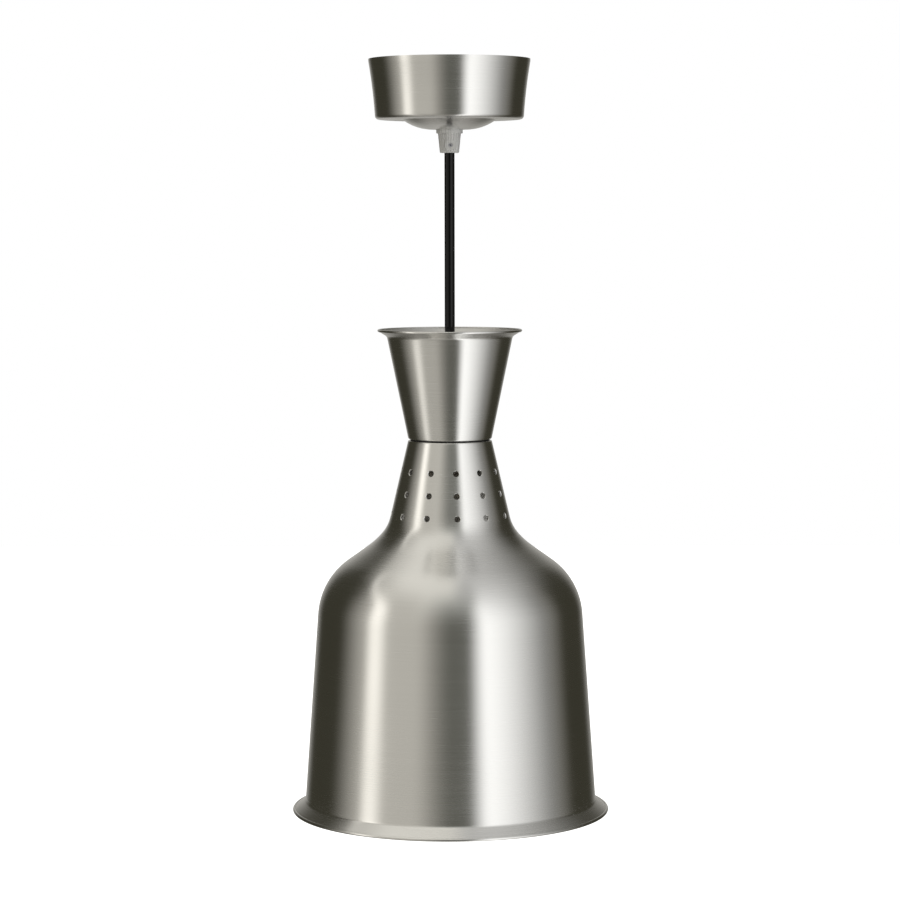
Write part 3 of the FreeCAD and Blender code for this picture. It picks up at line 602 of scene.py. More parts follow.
class Graph:
    """Adds and joins the nodes of one material or world."""

    def __init__(self, tree: bpy.types.NodeTree) -> None:
        """Take over a node tree and empty it."""
        self.tree = tree
        tree.nodes.clear()

    def feed(self, socket: bpy.types.NodeSocket, value: Feed) -> None:
        """Join another node's output to a socket, or set the socket itself.

        Args:
            socket: The input to feed.
            value: An output socket, a number, a colour or a vector.
        """
        if isinstance(value, bpy.types.NodeSocket):
            self.tree.links.new(value, socket)
        elif socket.type == "RGBA":
            socket.default_value = (*value, 1.0)
        else:
            socket.default_value = value

    def feed_all(self, node: bpy.types.Node, inputs: Mapping[str | int, Feed]) -> None:
        """Feed several inputs of a node, each found by its name or number."""
        for name, value in inputs.items():
            self.feed(node.inputs[name], value)

    def add(
        self, kind: str, inputs: Mapping[str | int, Feed] | None = None, **settings: Any
    ) -> bpy.types.Node:
        """Add a node.

        Args:
            kind: The node's type without its ShaderNode prefix.
            inputs: Values or output sockets by the name or number of the input.
            settings: The node's own properties by name.

        Returns:
            The new node.
        """
        node = self.tree.nodes.new("ShaderNode" + kind)
        for name, value in settings.items():
            setattr(node, name, value)
        self.feed_all(node, inputs or {})
        return node

    def maths(self, operation: str, *values: Feed) -> bpy.types.NodeSocket:
        """Add a maths node and give its result's socket."""
        return self.add("Math", dict(enumerate(values)), operation=operation).outputs[0]

    def times(self, first: Feed, second: Feed) -> bpy.types.NodeSocket:
        """Multiply two numbers or sockets."""
        return self.maths("MULTIPLY", first, second)

    def mix(self, first: Feed, share: float, second: Feed) -> bpy.types.NodeSocket:
        """Add a share of one pattern to the rest of another."""
        return self.maths("ADD", self.times(first, share), self.times(second, 1 - share))

    def spread(self, value: Feed, source: Span, low: float = 0, high: float = 1) -> bpy.types.NodeSocket:
        """Map a number smoothly from one range to another and keep it there.

        Args:
            value: The number's socket.
            source: The start and end of the range it comes from.
            low: What the start becomes.
            high: What the end becomes.

        Returns:
            The mapped number's socket.
        """
        start, end = source
        ranges = {"Value": value, "From Min": start, "From Max": end, "To Min": low, "To Max": high}
        return self.add("MapRange", ranges, interpolation_type="SMOOTHSTEP").outputs[0]

    def tint(self, amount: Feed, first: Feed, second: Feed) -> bpy.types.NodeSocket:
        """Mix two colours, all of the first at an amount of 0 and all of the second at 1."""
        # A mix node keeps its two colours in inputs 6 and 7, and their mixture in output 2.
        return self.add("Mix", {0: amount, 6: first, 7: second}, data_type="RGBA").outputs[2]

    def noise(self, where: Feed, size: float, detail: float = 2.0) -> bpy.types.NodeSocket:
        """Add a noise pattern around 0.5, with grains of a size and a number of finer layers."""
        return self.add("TexNoise", {"Vector": where, "Scale": 1 / size, "Detail": detail}).outputs[0]

    def place(self) -> bpy.types.NodeSocket:
        """Give the object coordinates' socket."""
        return self.add("TexCoord").outputs["Object"]

    def parts(self, vector: Feed) -> Sequence[bpy.types.NodeSocket]:
        """Split a vector into the sockets of its X, Y and Z."""
        return self.add("SeparateXYZ", {0: vector}).outputs

    def vector(self, x: Feed = 0.0, y: Feed = 0.0, z: Feed = 0.0) -> bpy.types.NodeSocket:
        """Make a vector of three numbers or sockets."""
        return self.add("CombineXYZ", {0: x, 1: y, 2: z}).outputs[0]

    def bump(self, height: Feed, depth: float) -> bpy.types.NodeSocket:
        """Turn a pattern into relief of a depth in metres, and give the bent normal's socket."""
        return self.add("Bump", {"Height": height, "Distance": depth, "Strength": 1.0}).outputs[0]


def toned(colour: Colour, tone: float) -> Colour:
    """Multiply a colour, up to full brightness."""
    return tuple(min(channel * tone, 1.0) for channel in colour)


@dataclass(frozen=True)
class Finish:
    """The finish of a surface, made into a material the first time that it is used."""

    slot: str
    colour: Colour
    roughness: float

    def material(self, name: str) -> bpy.types.Material:
        """Give the finish's material.

        Args:
            name: The finish's name.

        Returns:
            The material, the same one each time.
        """
        label = name.lower() + "_finish"
        made = bpy.data.materials.get(label)
        if made:
            return made
        made = bpy.data.materials.new(label)
        made.use_nodes = True
        made.diffuse_color = (*self.colour, 1.0)
        graph = Graph(made.node_tree)
        shader = graph.add("BsdfPrincipled", {"Base Color": self.colour, "Roughness": self.roughness})
        graph.add("OutputMaterial", {"Surface": shader.outputs[0]})
        graph.feed_all(shader, self.look(graph))
        return made

    def look(self, graph: Graph) -> dict[str, Feed]:
        """Lay the finish's patterns.

        Args:
            graph: The material's nodes.

        Returns:
            What goes into the material's Principled shader, by the name of the input.
        """
        raise NotImplementedError

    def dulled(self, graph: Graph, pattern: Feed, source: Span, change: Span) -> bpy.types.NodeSocket:
        """Vary the roughness with a pattern, by one change at its source range's start and one at its end."""
        low, high = (self.roughness + step for step in change)
        return graph.spread(pattern, source, low, high)


@dataclass(frozen=True)
class SpunMetal(Finish):
    """Bare metal, brushed in rings while it turns on the spinning lathe."""

    anisotropy: float = 0.86
    brushing_turn: float = 0.25
    line_width: float = 0.25 * MM
    line_length: float = 40 * MM
    line_detail: float = 3.0
    coarseness: float = 5
    fine_share: float = 0.65
    cloud: float = 60 * MM
    brushed_share: float = 0.7
    contrast: float = 0.022
    unevenness: float = 0.035
    relief: float = 0.0005 * MM

    def lines(self, graph: Graph, where: bpy.types.NodeSocket, coarseness: float) -> bpy.types.NodeSocket:
        """Lay a brushed pattern that runs round the axis without a seam.

        Args:
            graph: The material's nodes.
            where: The object coordinates.
            coarseness: How many times wider and longer than the finest lines these are.

        Returns:
            The pattern's socket.
        """
        x, y, z = graph.parts(where)
        radius = graph.maths("SQRT", graph.maths("ADD", graph.times(x, x), graph.times(y, y)))
        across = 1 / (self.line_width * coarseness)
        along = 1 / (self.line_length * coarseness)
        grid = graph.vector(graph.times(radius, across), graph.times(z, across), graph.times(x, along))
        pattern = {"Vector": grid, "W": graph.times(y, along), "Scale": 1.0, "Detail": self.line_detail}
        return graph.add("TexNoise", pattern, noise_dimensions="4D").outputs[0]

    def look(self, graph: Graph) -> dict[str, Feed]:
        """Brush the metal: fine lines, broader lines, and a faint cloudiness from handling.

        Args:
            graph: The material's nodes.

        Returns:
            What goes into the material's Principled shader.
        """
        where = graph.place()
        fine, broad = (self.lines(graph, where, coarseness) for coarseness in (1, self.coarseness))
        brushed = graph.mix(fine, self.fine_share, broad)
        dark, light = (toned(self.colour, 1 + change) for change in (-self.contrast, self.contrast))
        gloss = graph.mix(brushed, self.brushed_share, graph.noise(where, self.cloud, detail=1))
        return {
            "Base Color": graph.tint(graph.spread(brushed, WIDE), dark, light),
            "Roughness": self.dulled(graph, gloss, WIDE, (-self.unevenness, self.unevenness)),
            "Normal": graph.bump(brushed, self.relief),
            "Tangent": graph.add("Tangent", direction_type="RADIAL", axis="Z").outputs[0],
            "Metallic": 1.0,
            "Anisotropic": self.anisotropy,
            "Anisotropic Rotation": self.brushing_turn,
        }


@dataclass(frozen=True)
class Plate(Finish):
    """Plated or drawn metal, with a fine grain and scattered dull spots."""

    grain: float = 0.5 * MM
    patch_grains: float = 14
    grain_share: float = 0.4
    dull: float = 0.72
    unevenness: Span = (0.1, -0.06)
    relief: float = 0.01 * MM

    def look(self, graph: Graph) -> dict[str, Feed]:
        """Mottle the plating's colour and gloss, and pit it a little.

        Args:
            graph: The material's nodes.

        Returns:
            What goes into the material's Principled shader.
        """
        where = graph.place()
        grain = graph.noise(where, self.grain, detail=4)
        patches = graph.noise(where, self.patch_grains * self.grain, detail=2)
        mottle = graph.mix(grain, self.grain_share, patches)
        dark = toned(self.colour, self.dull)
        return {
            "Base Color": graph.tint(graph.spread(mottle, NARROW), dark, self.colour),
            "Roughness": self.dulled(graph, mottle, NARROW, self.unevenness),
            "Normal": graph.bump(grain, self.relief),
            "Metallic": 1.0,
        }


@dataclass(frozen=True)
class Moulding(Finish):
    """Moulded plastic or rubber, with a fine moulded grain."""

    grain: float = 0.25 * MM
    flow: float = 9 * MM
    shade: float = 0.86
    unevenness: Span = (-0.05, 0.08)
    relief: float = 0.02 * MM
    specular: float = 0.4

    def look(self, graph: Graph) -> dict[str, Feed]:
        """Give the moulding its grain, and a slow change of shade where the melt cooled.

        Args:
            graph: The material's nodes.

        Returns:
            What goes into the material's Principled shader.
        """
        where = graph.place()
        grain = graph.noise(where, self.grain, detail=3)
        flow = graph.spread(graph.noise(where, self.flow, detail=2), NARROW)
        return {
            "Base Color": graph.tint(flow, toned(self.colour, self.shade), self.colour),
            "Roughness": self.dulled(graph, grain, WIDE, self.unevenness),
            "Normal": graph.bump(grain, self.relief),
            "Specular IOR Level": self.specular,
        }


@dataclass(frozen=True)
class ClearMoulding(Finish):
    """Clear plastic, streaked darker and lighter down its length in painted shade and highlight that stand
    for its ribs' light and dark lines.
    """

    clearness: float = 0.22
    refraction: float = 1.49
    # The streaking's count round, length and range, and its darker tone, are painted shade and highlight.
    painted_streaks_round: float = 9.0
    painted_streak_length: float = 260 * MM
    painted_streak_range: Span = (0.41, 0.52)
    painted_streak_shade: float = 0.8
    haze: float = 2.5 * MM
    unevenness: Span = (-0.03, 0.05)
    ripple: float = 0.05 * MM

    def look(self, graph: Graph) -> dict[str, Feed]:
        """Paint darker and lighter streaking down the plastic as painted shade and highlight, and ripple its
        surface with the same pattern.

        Args:
            graph: The material's nodes.

        Returns:
            What goes into the material's Principled shader.
        """
        where = graph.place()
        x, y, z = graph.parts(where)
        flat = graph.add("VectorMath", {0: graph.vector(x, y, 0.0)}, operation="NORMALIZE").outputs[0]
        ray_x, ray_y = (graph.times(part, self.painted_streaks_round) for part in graph.parts(flat)[:2])
        # flow is the pattern of the painted shade and highlight streaking, and it also ripples the surface.
        flow = graph.noise(graph.vector(ray_x, ray_y, graph.times(z, 1 / self.painted_streak_length)), size=1.0)
        painted_streak_dark = toned(self.colour, self.painted_streak_shade)
        return {
            "Base Color": graph.tint(graph.spread(flow, self.painted_streak_range), painted_streak_dark, self.colour),
            "Roughness": self.dulled(graph, graph.noise(where, self.haze), WIDE, self.unevenness),
            "Normal": graph.bump(flow, self.ripple),
            "Transmission Weight": self.clearness,
            "IOR": self.refraction,
        }


@dataclass(frozen=True)
class Glaze(Finish):
    """Glazed ceramic with a few specks in its glaze."""

    warm: Colour = (0.8428, 0.7896, 0.6794)
    patch: float = 12 * MM
    speck: Colour = (0.55, 0.5, 0.42)
    speck_spacing: float = 2.6 * MM
    speck_edge: Span = (0.03, 0.07)
    speck_strength: float = 0.5
    unevenness: Span = (0.0, 0.08)
    roll: float = 5 * MM
    relief: float = 0.08 * MM
    coat: float = 0.6
    coat_roughness: float = 0.06

    def look(self, graph: Graph) -> dict[str, Feed]:
        """Warm the glaze in patches, speck it, and let its surface roll slightly.

        Args:
            graph: The material's nodes.

        Returns:
            What goes into the material's Principled shader.
        """
        where = graph.place()
        patches = graph.noise(where, self.patch)
        base = graph.tint(graph.spread(patches, NARROW), self.colour, self.warm)
        dots = graph.add("TexVoronoi", {"Vector": where, "Scale": 1 / self.speck_spacing}).outputs["Distance"]
        specks = graph.spread(dots, self.speck_edge, self.speck_strength, 0)
        return {
            "Base Color": graph.tint(specks, base, self.speck),
            "Roughness": self.dulled(graph, patches, WIDE, self.unevenness),
            "Normal": graph.bump(graph.noise(where, self.roll, detail=1), self.relief),
            "Coat Weight": self.coat,
            "Coat Roughness": self.coat_roughness,
        }


@dataclass(frozen=True)
class BlownGlass(Finish):
    """Blown glass with slow waves in it and a little dust on it."""

    refraction: float = 1.47
    dust: float = 3 * MM
    dust_shade: float = 0.94
    dust_range: Span = (0.4, 0.7)
    dull_range: Span = (0.45, 0.7)
    unevenness: Span = (0.0, 0.08)
    wave: float = 18 * MM
    relief: float = 0.15 * MM

    def look(self, graph: Graph) -> dict[str, Feed]:
        """Wave the surface and dust it.

        Args:
            graph: The material's nodes.

        Returns:
            What goes into the material's Principled shader.
        """
        where = graph.place()
        dust = graph.noise(where, self.dust, detail=4)
        dusty = toned(self.colour, self.dust_shade)
        return {
            "Base Color": graph.tint(graph.spread(dust, self.dust_range), self.colour, dusty),
            "Roughness": self.dulled(graph, dust, self.dull_range, self.unevenness),
            "Normal": graph.bump(graph.noise(where, self.wave, detail=1), self.relief),
            "Transmission Weight": 1.0,
            "IOR": self.refraction,
        }


@dataclass(frozen=True)
class Sheath(Finish):
    """A cord's smooth black sheath, laid on the cord's own UV map."""

    lines_round: float = 26.0
    line_length: float = 60 * MM
    relief: float = 0.012 * MM
    worn: Colour = (0.0035, 0.0035, 0.004)
    worn_range: Span = (0.35, 0.7)
    patch: float = 2.5 * MM
    dull_range: Span = (0.3, 0.75)
    unevenness: Span = (-0.03, 0.05)
    specular: float = 0.3

    def look(self, graph: Graph) -> dict[str, Feed]:
        """Draw faint lines down the sheath, as its die leaves them, and dull it in small patches.

        Args:
            graph: The material's nodes.

        Returns:
            What goes into the material's Principled shader.
        """
        u, v, _ = graph.parts(graph.add("TexCoord").outputs["UV"])
        turn = graph.times(u, FULL_TURN)
        radius = self.lines_round / FULL_TURN
        ray_x, ray_y = (graph.times(graph.maths(name, turn), radius) for name in ("COSINE", "SINE"))
        drawn = graph.noise(graph.vector(ray_x, ray_y, graph.times(v, 1 / self.line_length)), size=1.0)
        dull = graph.noise(graph.place(), self.patch, detail=3)
        return {
            "Base Color": graph.tint(graph.spread(dull, self.worn_range), self.colour, self.worn),
            "Roughness": self.dulled(graph, dull, self.dull_range, self.unevenness),
            "Normal": graph.bump(drawn, self.relief),
            "Specular IOR Level": self.specular,
        }


class Finishes(Enum):
    """The finishes of the lamp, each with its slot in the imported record.

    A slot's own finish comes before others that share the slot.
    """

    SATIN_ALUMINIUM = SpunMetal("satin_aluminium", (0.86, 0.855, 0.84), 0.255)
    UNPOLISHED_ALUMINIUM = SpunMetal(
        "satin_aluminium", (0.78, 0.775, 0.76), 0.42, anisotropy=0.3, contrast=0.06
    )
    ZINC_STEEL = Plate("zinc_steel", (0.72, 0.73, 0.72), 0.34)
    BLASTED_STEEL = Plate("zinc_steel", (0.62, 0.62, 0.65), 0.6, grain=0.3 * MM, dull=0.86)
    TINNED_COPPER = Plate("tinned_copper", (0.80, 0.79, 0.76), 0.3, grain=0.3 * MM)
    BRASS = Plate("brass", (0.83, 0.66, 0.33), 0.26, grain=0.35 * MM)
    PLATED_SHELL = Plate("plated_shell", (0.78, 0.76, 0.70), 0.22, grain=0.4 * MM)
    SOLDER = Plate("solder", (0.62, 0.62, 0.61), 0.38, grain=0.6 * MM, relief=0.06 * MM)
    TUNGSTEN = Plate("tungsten", (0.38, 0.37, 0.36), 0.4, grain=0.2 * MM)
    BLOCK_PLASTIC = Moulding("block_plastic", (0.80, 0.79, 0.74), 0.42)
    LIVE_INSULATION = Moulding("live_insulation", (0.20, 0.075, 0.03), 0.4)
    NEUTRAL_INSULATION = Moulding("neutral_insulation", (0.03, 0.12, 0.42), 0.4)
    EARTH_INSULATION = Moulding("earth_insulation", (0.12, 0.40, 0.06), 0.4)
    BLACK_RUBBER = Moulding("black_rubber", (0.012, 0.012, 0.012), 0.62, specular=0.3)
    BLACK_GLASS = Moulding("black_glass", (0.008, 0.008, 0.01), 0.1, relief=0.01 * MM, specular=0.6)
    WHITE_CERAMIC = Glaze("white_ceramic", (0.86, 0.84, 0.79), 0.16)
    CLEAR_GRIP = ClearMoulding("clear_grip_plastic", (1.0, 1.0, 0.99), 0.17)
    BULB_GLASS = BlownGlass("bulb_glass", (1.0, 1.0, 1.0), 0.02)
    MIRROR_COAT = Plate("bulb_glass", (0.93, 0.93, 0.92), 0.1, grain=2 * MM, dull=0.95, relief=0.004 * MM)
    BLACK_SHEATH = Sheath("black_textile", (0.0012, 0.0012, 0.0014), 0.08)


def dress(piece: bpy.types.Object, finish: Finishes) -> None:
    """Give a piece one finish all over.

    Args:
        piece: The piece or CAD node.
        finish: Its finish.
    """
    piece.data.materials.clear()
    piece.data.materials.append(finish.value.material(finish.name))
    for face in piece.data.polygons:
        face.material_index = 0


def dress_inside(piece: bpy.types.Object, finish: Finishes) -> None:
    """Give the faces of a turned sheet that look at its axis, or down from its roof, another finish.

    Args:
        piece: The sheet, already dressed.
        finish: The finish of its inside.
    """
    piece.data.materials.append(finish.value.material(finish.name))
    inside = len(piece.data.materials) - 1
    for face in piece.data.polygons:
        outward = face.center.x * face.normal.x + face.center.y * face.normal.y
        if outward < FACING_IN or face.normal.z < FACING_DOWN:
            face.material_index = inside


def wrap_uv(piece: bpy.types.Object) -> None:
    """Wrap a UV map round an upright tube: U goes once round, V is the height in metres.

    Args:
        piece: The tube.
    """
    layer = piece.data.uv_layers.new(name="Wrap")
    for face in piece.data.polygons:
        middle = math.atan2(face.center.y, face.center.x)
        for loop in face.loop_indices:
            place = piece.data.vertices[piece.data.loops[loop].vertex_index].co
            angle = math.atan2(place.y, place.x) - middle
            angle = (angle + math.pi) % FULL_TURN - math.pi + middle
            layer.data[loop].uv = (angle / FULL_TURN, place.z)


# --- Sub-assemblies ---


@dataclass
class SubAssembly:
    """A group of pieces that ride on one body of the frame."""

    body: str

    def mount(self, piece: bpy.types.Object, finish: Finishes, *nodes: str) -> bpy.types.Object:
        """Dress a new piece, put it on the body and let it stand for its CAD nodes.

        Args:
            piece: The finished piece.
            finish: Its finish.
            nodes: The CAD nodes that it replaces.

        Returns:
            The piece.
        """
        dress(piece, finish)
        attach(piece, self.body)
        if nodes:
            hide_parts(*nodes)
        log.info("%s rides on %s with %d faces", piece.name, self.body, len(piece.data.polygons))
        return piece


class Seat(Enum):
    """Where a cord grip sits: hanging under the canopy, or standing in the cup."""

    CEILING = "ceiling"
    HEAD = "head"


@dataclass
class CordGrip(SubAssembly):
    """A clear plastic grip: a flange, a tapered fluted body and an arched pad for its screw."""

    seat: Seat
    node: str
    length: float = 16.7 * MM
    flange_diameter: float = 19.0 * MM
    flange_height: float = 2.8 * MM
    flange_foot_bend: float = 0.3 * MM
    flange_bend: float = 0.5 * MM
    body_diameter: float = 16.5 * MM
    mouth_diameter: float = 13.7 * MM
    mouth_bend: float = 0.9 * MM
    cord_bore: float = 7.9 * MM
    flute_count: int = 24
    flute_depth: float = 0.6 * MM
    flute_diameter: float = 1.5 * MM
    pad_width: float = 8.6 * MM
    pad_height: float = 6.4 * MM
    pad_face: float = 7.4 * MM
    screw_height: float = 11.3 * MM
    screw_hole: float = 3.2 * MM
    screw_diameter: float = 3.0 * MM
    screw_foot: float = 3.7 * MM
    screw_face: float = 7.2 * MM
    socket: float = 1.4 * MM
    socket_depth: float = 2.6 * MM
    turn: float = math.radians(6)
    smooth_angle: float = math.radians(28)
    sides: int = 72
    longest_edge: float = 4 * MM
    flute_sides: int = 20
    flute_reach: float = 0.75
    pad_sides: int = 48

    def body_solid(self) -> bpy.types.Object:
        """Turn the flange and the tapered body in one.

        Returns:
            The body, closed and without its flutes, pad and holes.
        """
        flange = self.flange_diameter / 2
        corners = [
            Corner(0, 0),
            Corner(flange, 0, self.flange_foot_bend),
            Corner(flange, self.flange_height, self.flange_bend),
            Corner(self.body_diameter / 2, self.flange_height, self.flange_bend),
            Corner(self.mouth_diameter / 2, self.length, self.mouth_bend),
            Corner(0, self.length),
        ]
        return turned(self.node + "_clear", corners, self.sides, self.longest_edge)

    def flutes(self) -> bpy.types.Object:
        """Lay one leaning rod along the body's side and spin copies of it round.

        Returns:
            All the rods as one object.
        """
        lean = math.atan2((self.body_diameter - self.mouth_diameter) / 2, self.length - self.flange_height)
        radius = self.flute_diameter / 2
        offset = self.body_diameter / 2 + radius - self.flute_depth
        half_rod = self.flute_reach * self.length
        deselect_all()
        bpy.ops.mesh.primitive_cylinder_add(
            vertices=self.flute_sides,
            radius=radius,
            depth=2 * half_rod,
            location=(offset - math.sin(lean) * half_rod, 0, self.flange_height + half_rod),
            rotation=(0, -lean, math.pi / self.flute_count),
        )
        return repeat_round(settle(bpy.context.active_object), self.flute_count)

    def pad(self) -> bpy.types.Object:
        """Extrude the arched pad towards the front.

        Returns:
            The pad, a closed solid.
        """
        back = on_axis(self.screw_height)
        arch = rod(self.pad_width, back, back - Vector((0, self.pad_face, 0)), self.pad_sides)
        foot = self.screw_height + self.pad_height / 2
        with editing(arch):
            bpy.ops.mesh.bisect(plane_co=on_axis(foot), plane_no=UP, clear_outer=True, use_fill=True)
        return arch

    def screw(self) -> bpy.types.Object:
        """Make the grub screw and sink its hexagon socket.

        Returns:
            The screw.
        """
        face = Vector((0, -self.screw_face, self.screw_height))
        screw = rod(self.screw_diameter, Vector((0, -self.screw_foot, self.screw_height)), face)
        screw.name = self.node + "_grub_screw"
        depth = Vector((0, self.socket_depth, 0))
        cut(screw, rod(self.socket, face - depth, face + depth, sides=6))
        return close_up(screw)

    def build(self) -> None:
        """Model the grip flange down, bore it, and stand it and its screw in their seat."""
        grip = self.body_solid()
        cut(grip, self.flutes())
        weld(grip, self.pad())
        cut(grip, rod(self.cord_bore, on_axis(-OVERRUN), on_axis(self.length + OVERRUN)))
        centre = on_axis(self.screw_height)
        cut(grip, rod(self.screw_hole, centre, centre - Vector((0, self.flange_diameter, 0))))
        close_up(grip, self.smooth_angle)
        low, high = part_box(self.node)
        turn = Matrix.Rotation(self.turn, 4, "Z")
        if self.seat is Seat.CEILING:
            place = Matrix.Translation(on_axis(high.z)) @ turn @ Matrix.Rotation(math.pi, 4, "Y")
        else:
            place = Matrix.Translation(on_axis(low.z)) @ turn
        screw = self.screw()
        for piece in (grip, screw):
            piece.data.transform(place)
        self.mount(grip, Finishes.CLEAR_GRIP, self.node)
        self.mount(screw, Finishes.BLASTED_STEEL, self.seat.value + "_grip_screw")


@dataclass
class Canopy(SubAssembly):
    """The spun canopy: an upright edge, a waisted side, a flat floor and a domed boss for the grip."""

    wall: float = 1.0 * MM
    hole: float = 10.2 * MM
    rim: float = 116.0 * MM
    edge: float = 1.5 * MM
    waist: float = 109.2 * MM
    waist_depth: float = 22.5 * MM
    floor: float = 106.4 * MM
    waist_bend: float = 430 * MM
    floor_bend: float = 3 * MM
    boss_foot: float = 67.8 * MM
    boss_foot_bend: float = 1.2 * MM
    boss_crown: float = 47.7 * MM
    boss_crown_bend: float = 36 * MM
    boss_height: float = 7.2 * MM

    def build(self) -> None:
        """Spin the canopy from its hole to its rim."""
        low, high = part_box("canopy")
        floor_z = low.z + self.boss_height
        corners = [
            Corner(self.hole / 2, low.z),
            Corner(self.boss_crown / 2, low.z, self.boss_crown_bend),
            Corner(self.boss_foot / 2, floor_z, self.boss_foot_bend),
            Corner(self.floor / 2, floor_z, self.floor_bend),
            Corner(self.waist / 2, high.z - self.waist_depth, self.waist_bend),
            Corner(self.rim / 2, high.z - self.edge),
            Corner(self.rim / 2, high.z),
        ]
        self.mount(spun_sheet("canopy_spun", corners, -self.wall), Finishes.SATIN_ALUMINIUM, "canopy")


@dataclass
class Cup(SubAssembly):
    """The open cup over the shade, with a flared lip rolled over a bead."""

    wall: float = 1.0 * MM
    hole: float = 10.2 * MM
    floor: float = 60.2 * MM
    floor_bend: float = 1.2 * MM
    flare: float = 90.7 * MM
    flare_bend: float = 3.5 * MM
    flare_height: float = 73.9 * MM
    lip: float = 103.0 * MM
    lip_height: float = 77.7 * MM
    bead: float = 1.8 * MM

    def build(self) -> None:
        """Spin the cup from its floor to its lip."""
        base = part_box("upper_cone")[0].z
        corners = [
            Corner(self.hole / 2, base),
            Corner(self.floor / 2, base, self.floor_bend),
            Corner(self.flare / 2, base + self.flare_height, self.flare_bend),
            Corner(self.lip / 2, base + self.lip_height),
        ]
        cup = spun_sheet("cup_spun", corners, -self.wall, self.bead)
        self.mount(cup, Finishes.SATIN_ALUMINIUM, "upper_cone")
        dress_inside(cup, Finishes.UNPOLISHED_ALUMINIUM)


@dataclass
class Shade(SubAssembly):
    """The spun shade: flat top, vented neck, round shoulder, long skirt and flared lip."""

    wall: float = 1.0 * MM
    hole: float = 10.2 * MM
    top: float = 60.3 * MM
    top_bend: float = 1.2 * MM
    neck: float = 89.6 * MM
    neck_depth: float = 62.4 * MM
    neck_bend: float = 28 * MM
    flank: float = 108.4 * MM
    flank_depth: float = 73.2 * MM
    flank_bend: float = 58 * MM
    shoulder: float = 188.3 * MM
    shoulder_depth: float = 101.5 * MM
    shoulder_bend: float = 51 * MM
    skirt: float = 211.1 * MM
    skirt_depth: float = 261.6 * MM
    skirt_bend: float = 3 * MM
    lip: float = 228.2 * MM
    lip_depth: float = 268.4 * MM
    bead: float = 2.2 * MM
    vent: float = 4.2 * MM
    vent_columns: int = 12
    vent_rows: int = 3
    vent_depth: float = 21.7 * MM
    vent_pitch: float = 15.8 * MM
    vent_turn: float = math.radians(-83)
    vent_break: float = 0.35 * MM
    drill_length: float = 5 * MM
    drill_shank: float = 3 * MM
    drill_sides: int = 32
    sides: int = 240
    longest_edge: float = 4 * MM

    def shell(self, top_z: float) -> bpy.types.Object:
        """Spin the shell.

        Args:
            top_z: The height of its flat top.

        Returns:
            The shell without its vents.
        """
        corners = [
            Corner(self.hole / 2, top_z),
            Corner(self.top / 2, top_z, self.top_bend),
            Corner(self.neck / 2, top_z - self.neck_depth, self.neck_bend),
            Corner(self.flank / 2, top_z - self.flank_depth, self.flank_bend),
            Corner(self.shoulder / 2, top_z - self.shoulder_depth, self.shoulder_bend),
            Corner(self.skirt / 2, top_z - self.skirt_depth, self.skirt_bend),
            Corner(self.lip / 2, top_z - self.lip_depth),
        ]
        return spun_sheet("shade_spun", corners, self.wall, self.bead, self.sides, self.longest_edge)

    def drill(self, top_z: float) -> bpy.types.Object:
        """Make one drill for each row, its end flared to break the hole's edge, and spin copies of it round.

        Args:
            top_z: The height of the shade's flat top.

        Returns:
            All the drills as one object.
        """
        slope = (self.neck - self.top) / 2 / self.neck_depth
        flared = self.vent / 2 + self.vent_break
        corners = [
            Corner(0, -self.drill_length),
            Corner(self.vent / 2, -self.drill_length),
            Corner(self.vent / 2, -self.vent_break),
            Corner(flared, 0),
            Corner(flared, self.drill_shank),
            Corner(0, self.drill_shank),
        ]
        drills = []
        for row in range(self.vent_rows):
            depth = self.vent_depth + row * self.vent_pitch
            drill = turned(f"drill_{row}", corners, self.drill_sides)
            place = Matrix.Rotation(self.vent_turn, 4, "Z")
            place = place @ Matrix.Translation((self.top / 2 + slope * depth, 0, top_z - depth))
            place = place @ Matrix.Rotation(math.pi / 2 - math.atan(slope), 4, "Y")
            drill.data.transform(place)
            drills.append(drill)
        return repeat_round(join(drills), self.vent_columns)

    def build(self) -> None:
        """Spin the shell and drill its vents."""
        top_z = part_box("shade")[1].z
        shell = self.shell(top_z)
        cut(shell, self.drill(top_z))
        activate(shell)
        bpy.ops.object.shade_smooth_by_angle(angle=SMOOTH_ANGLE)
        self.mount(shell, Finishes.SATIN_ALUMINIUM, "shade")
        dress_inside(shell, Finishes.UNPOLISHED_ALUMINIUM)


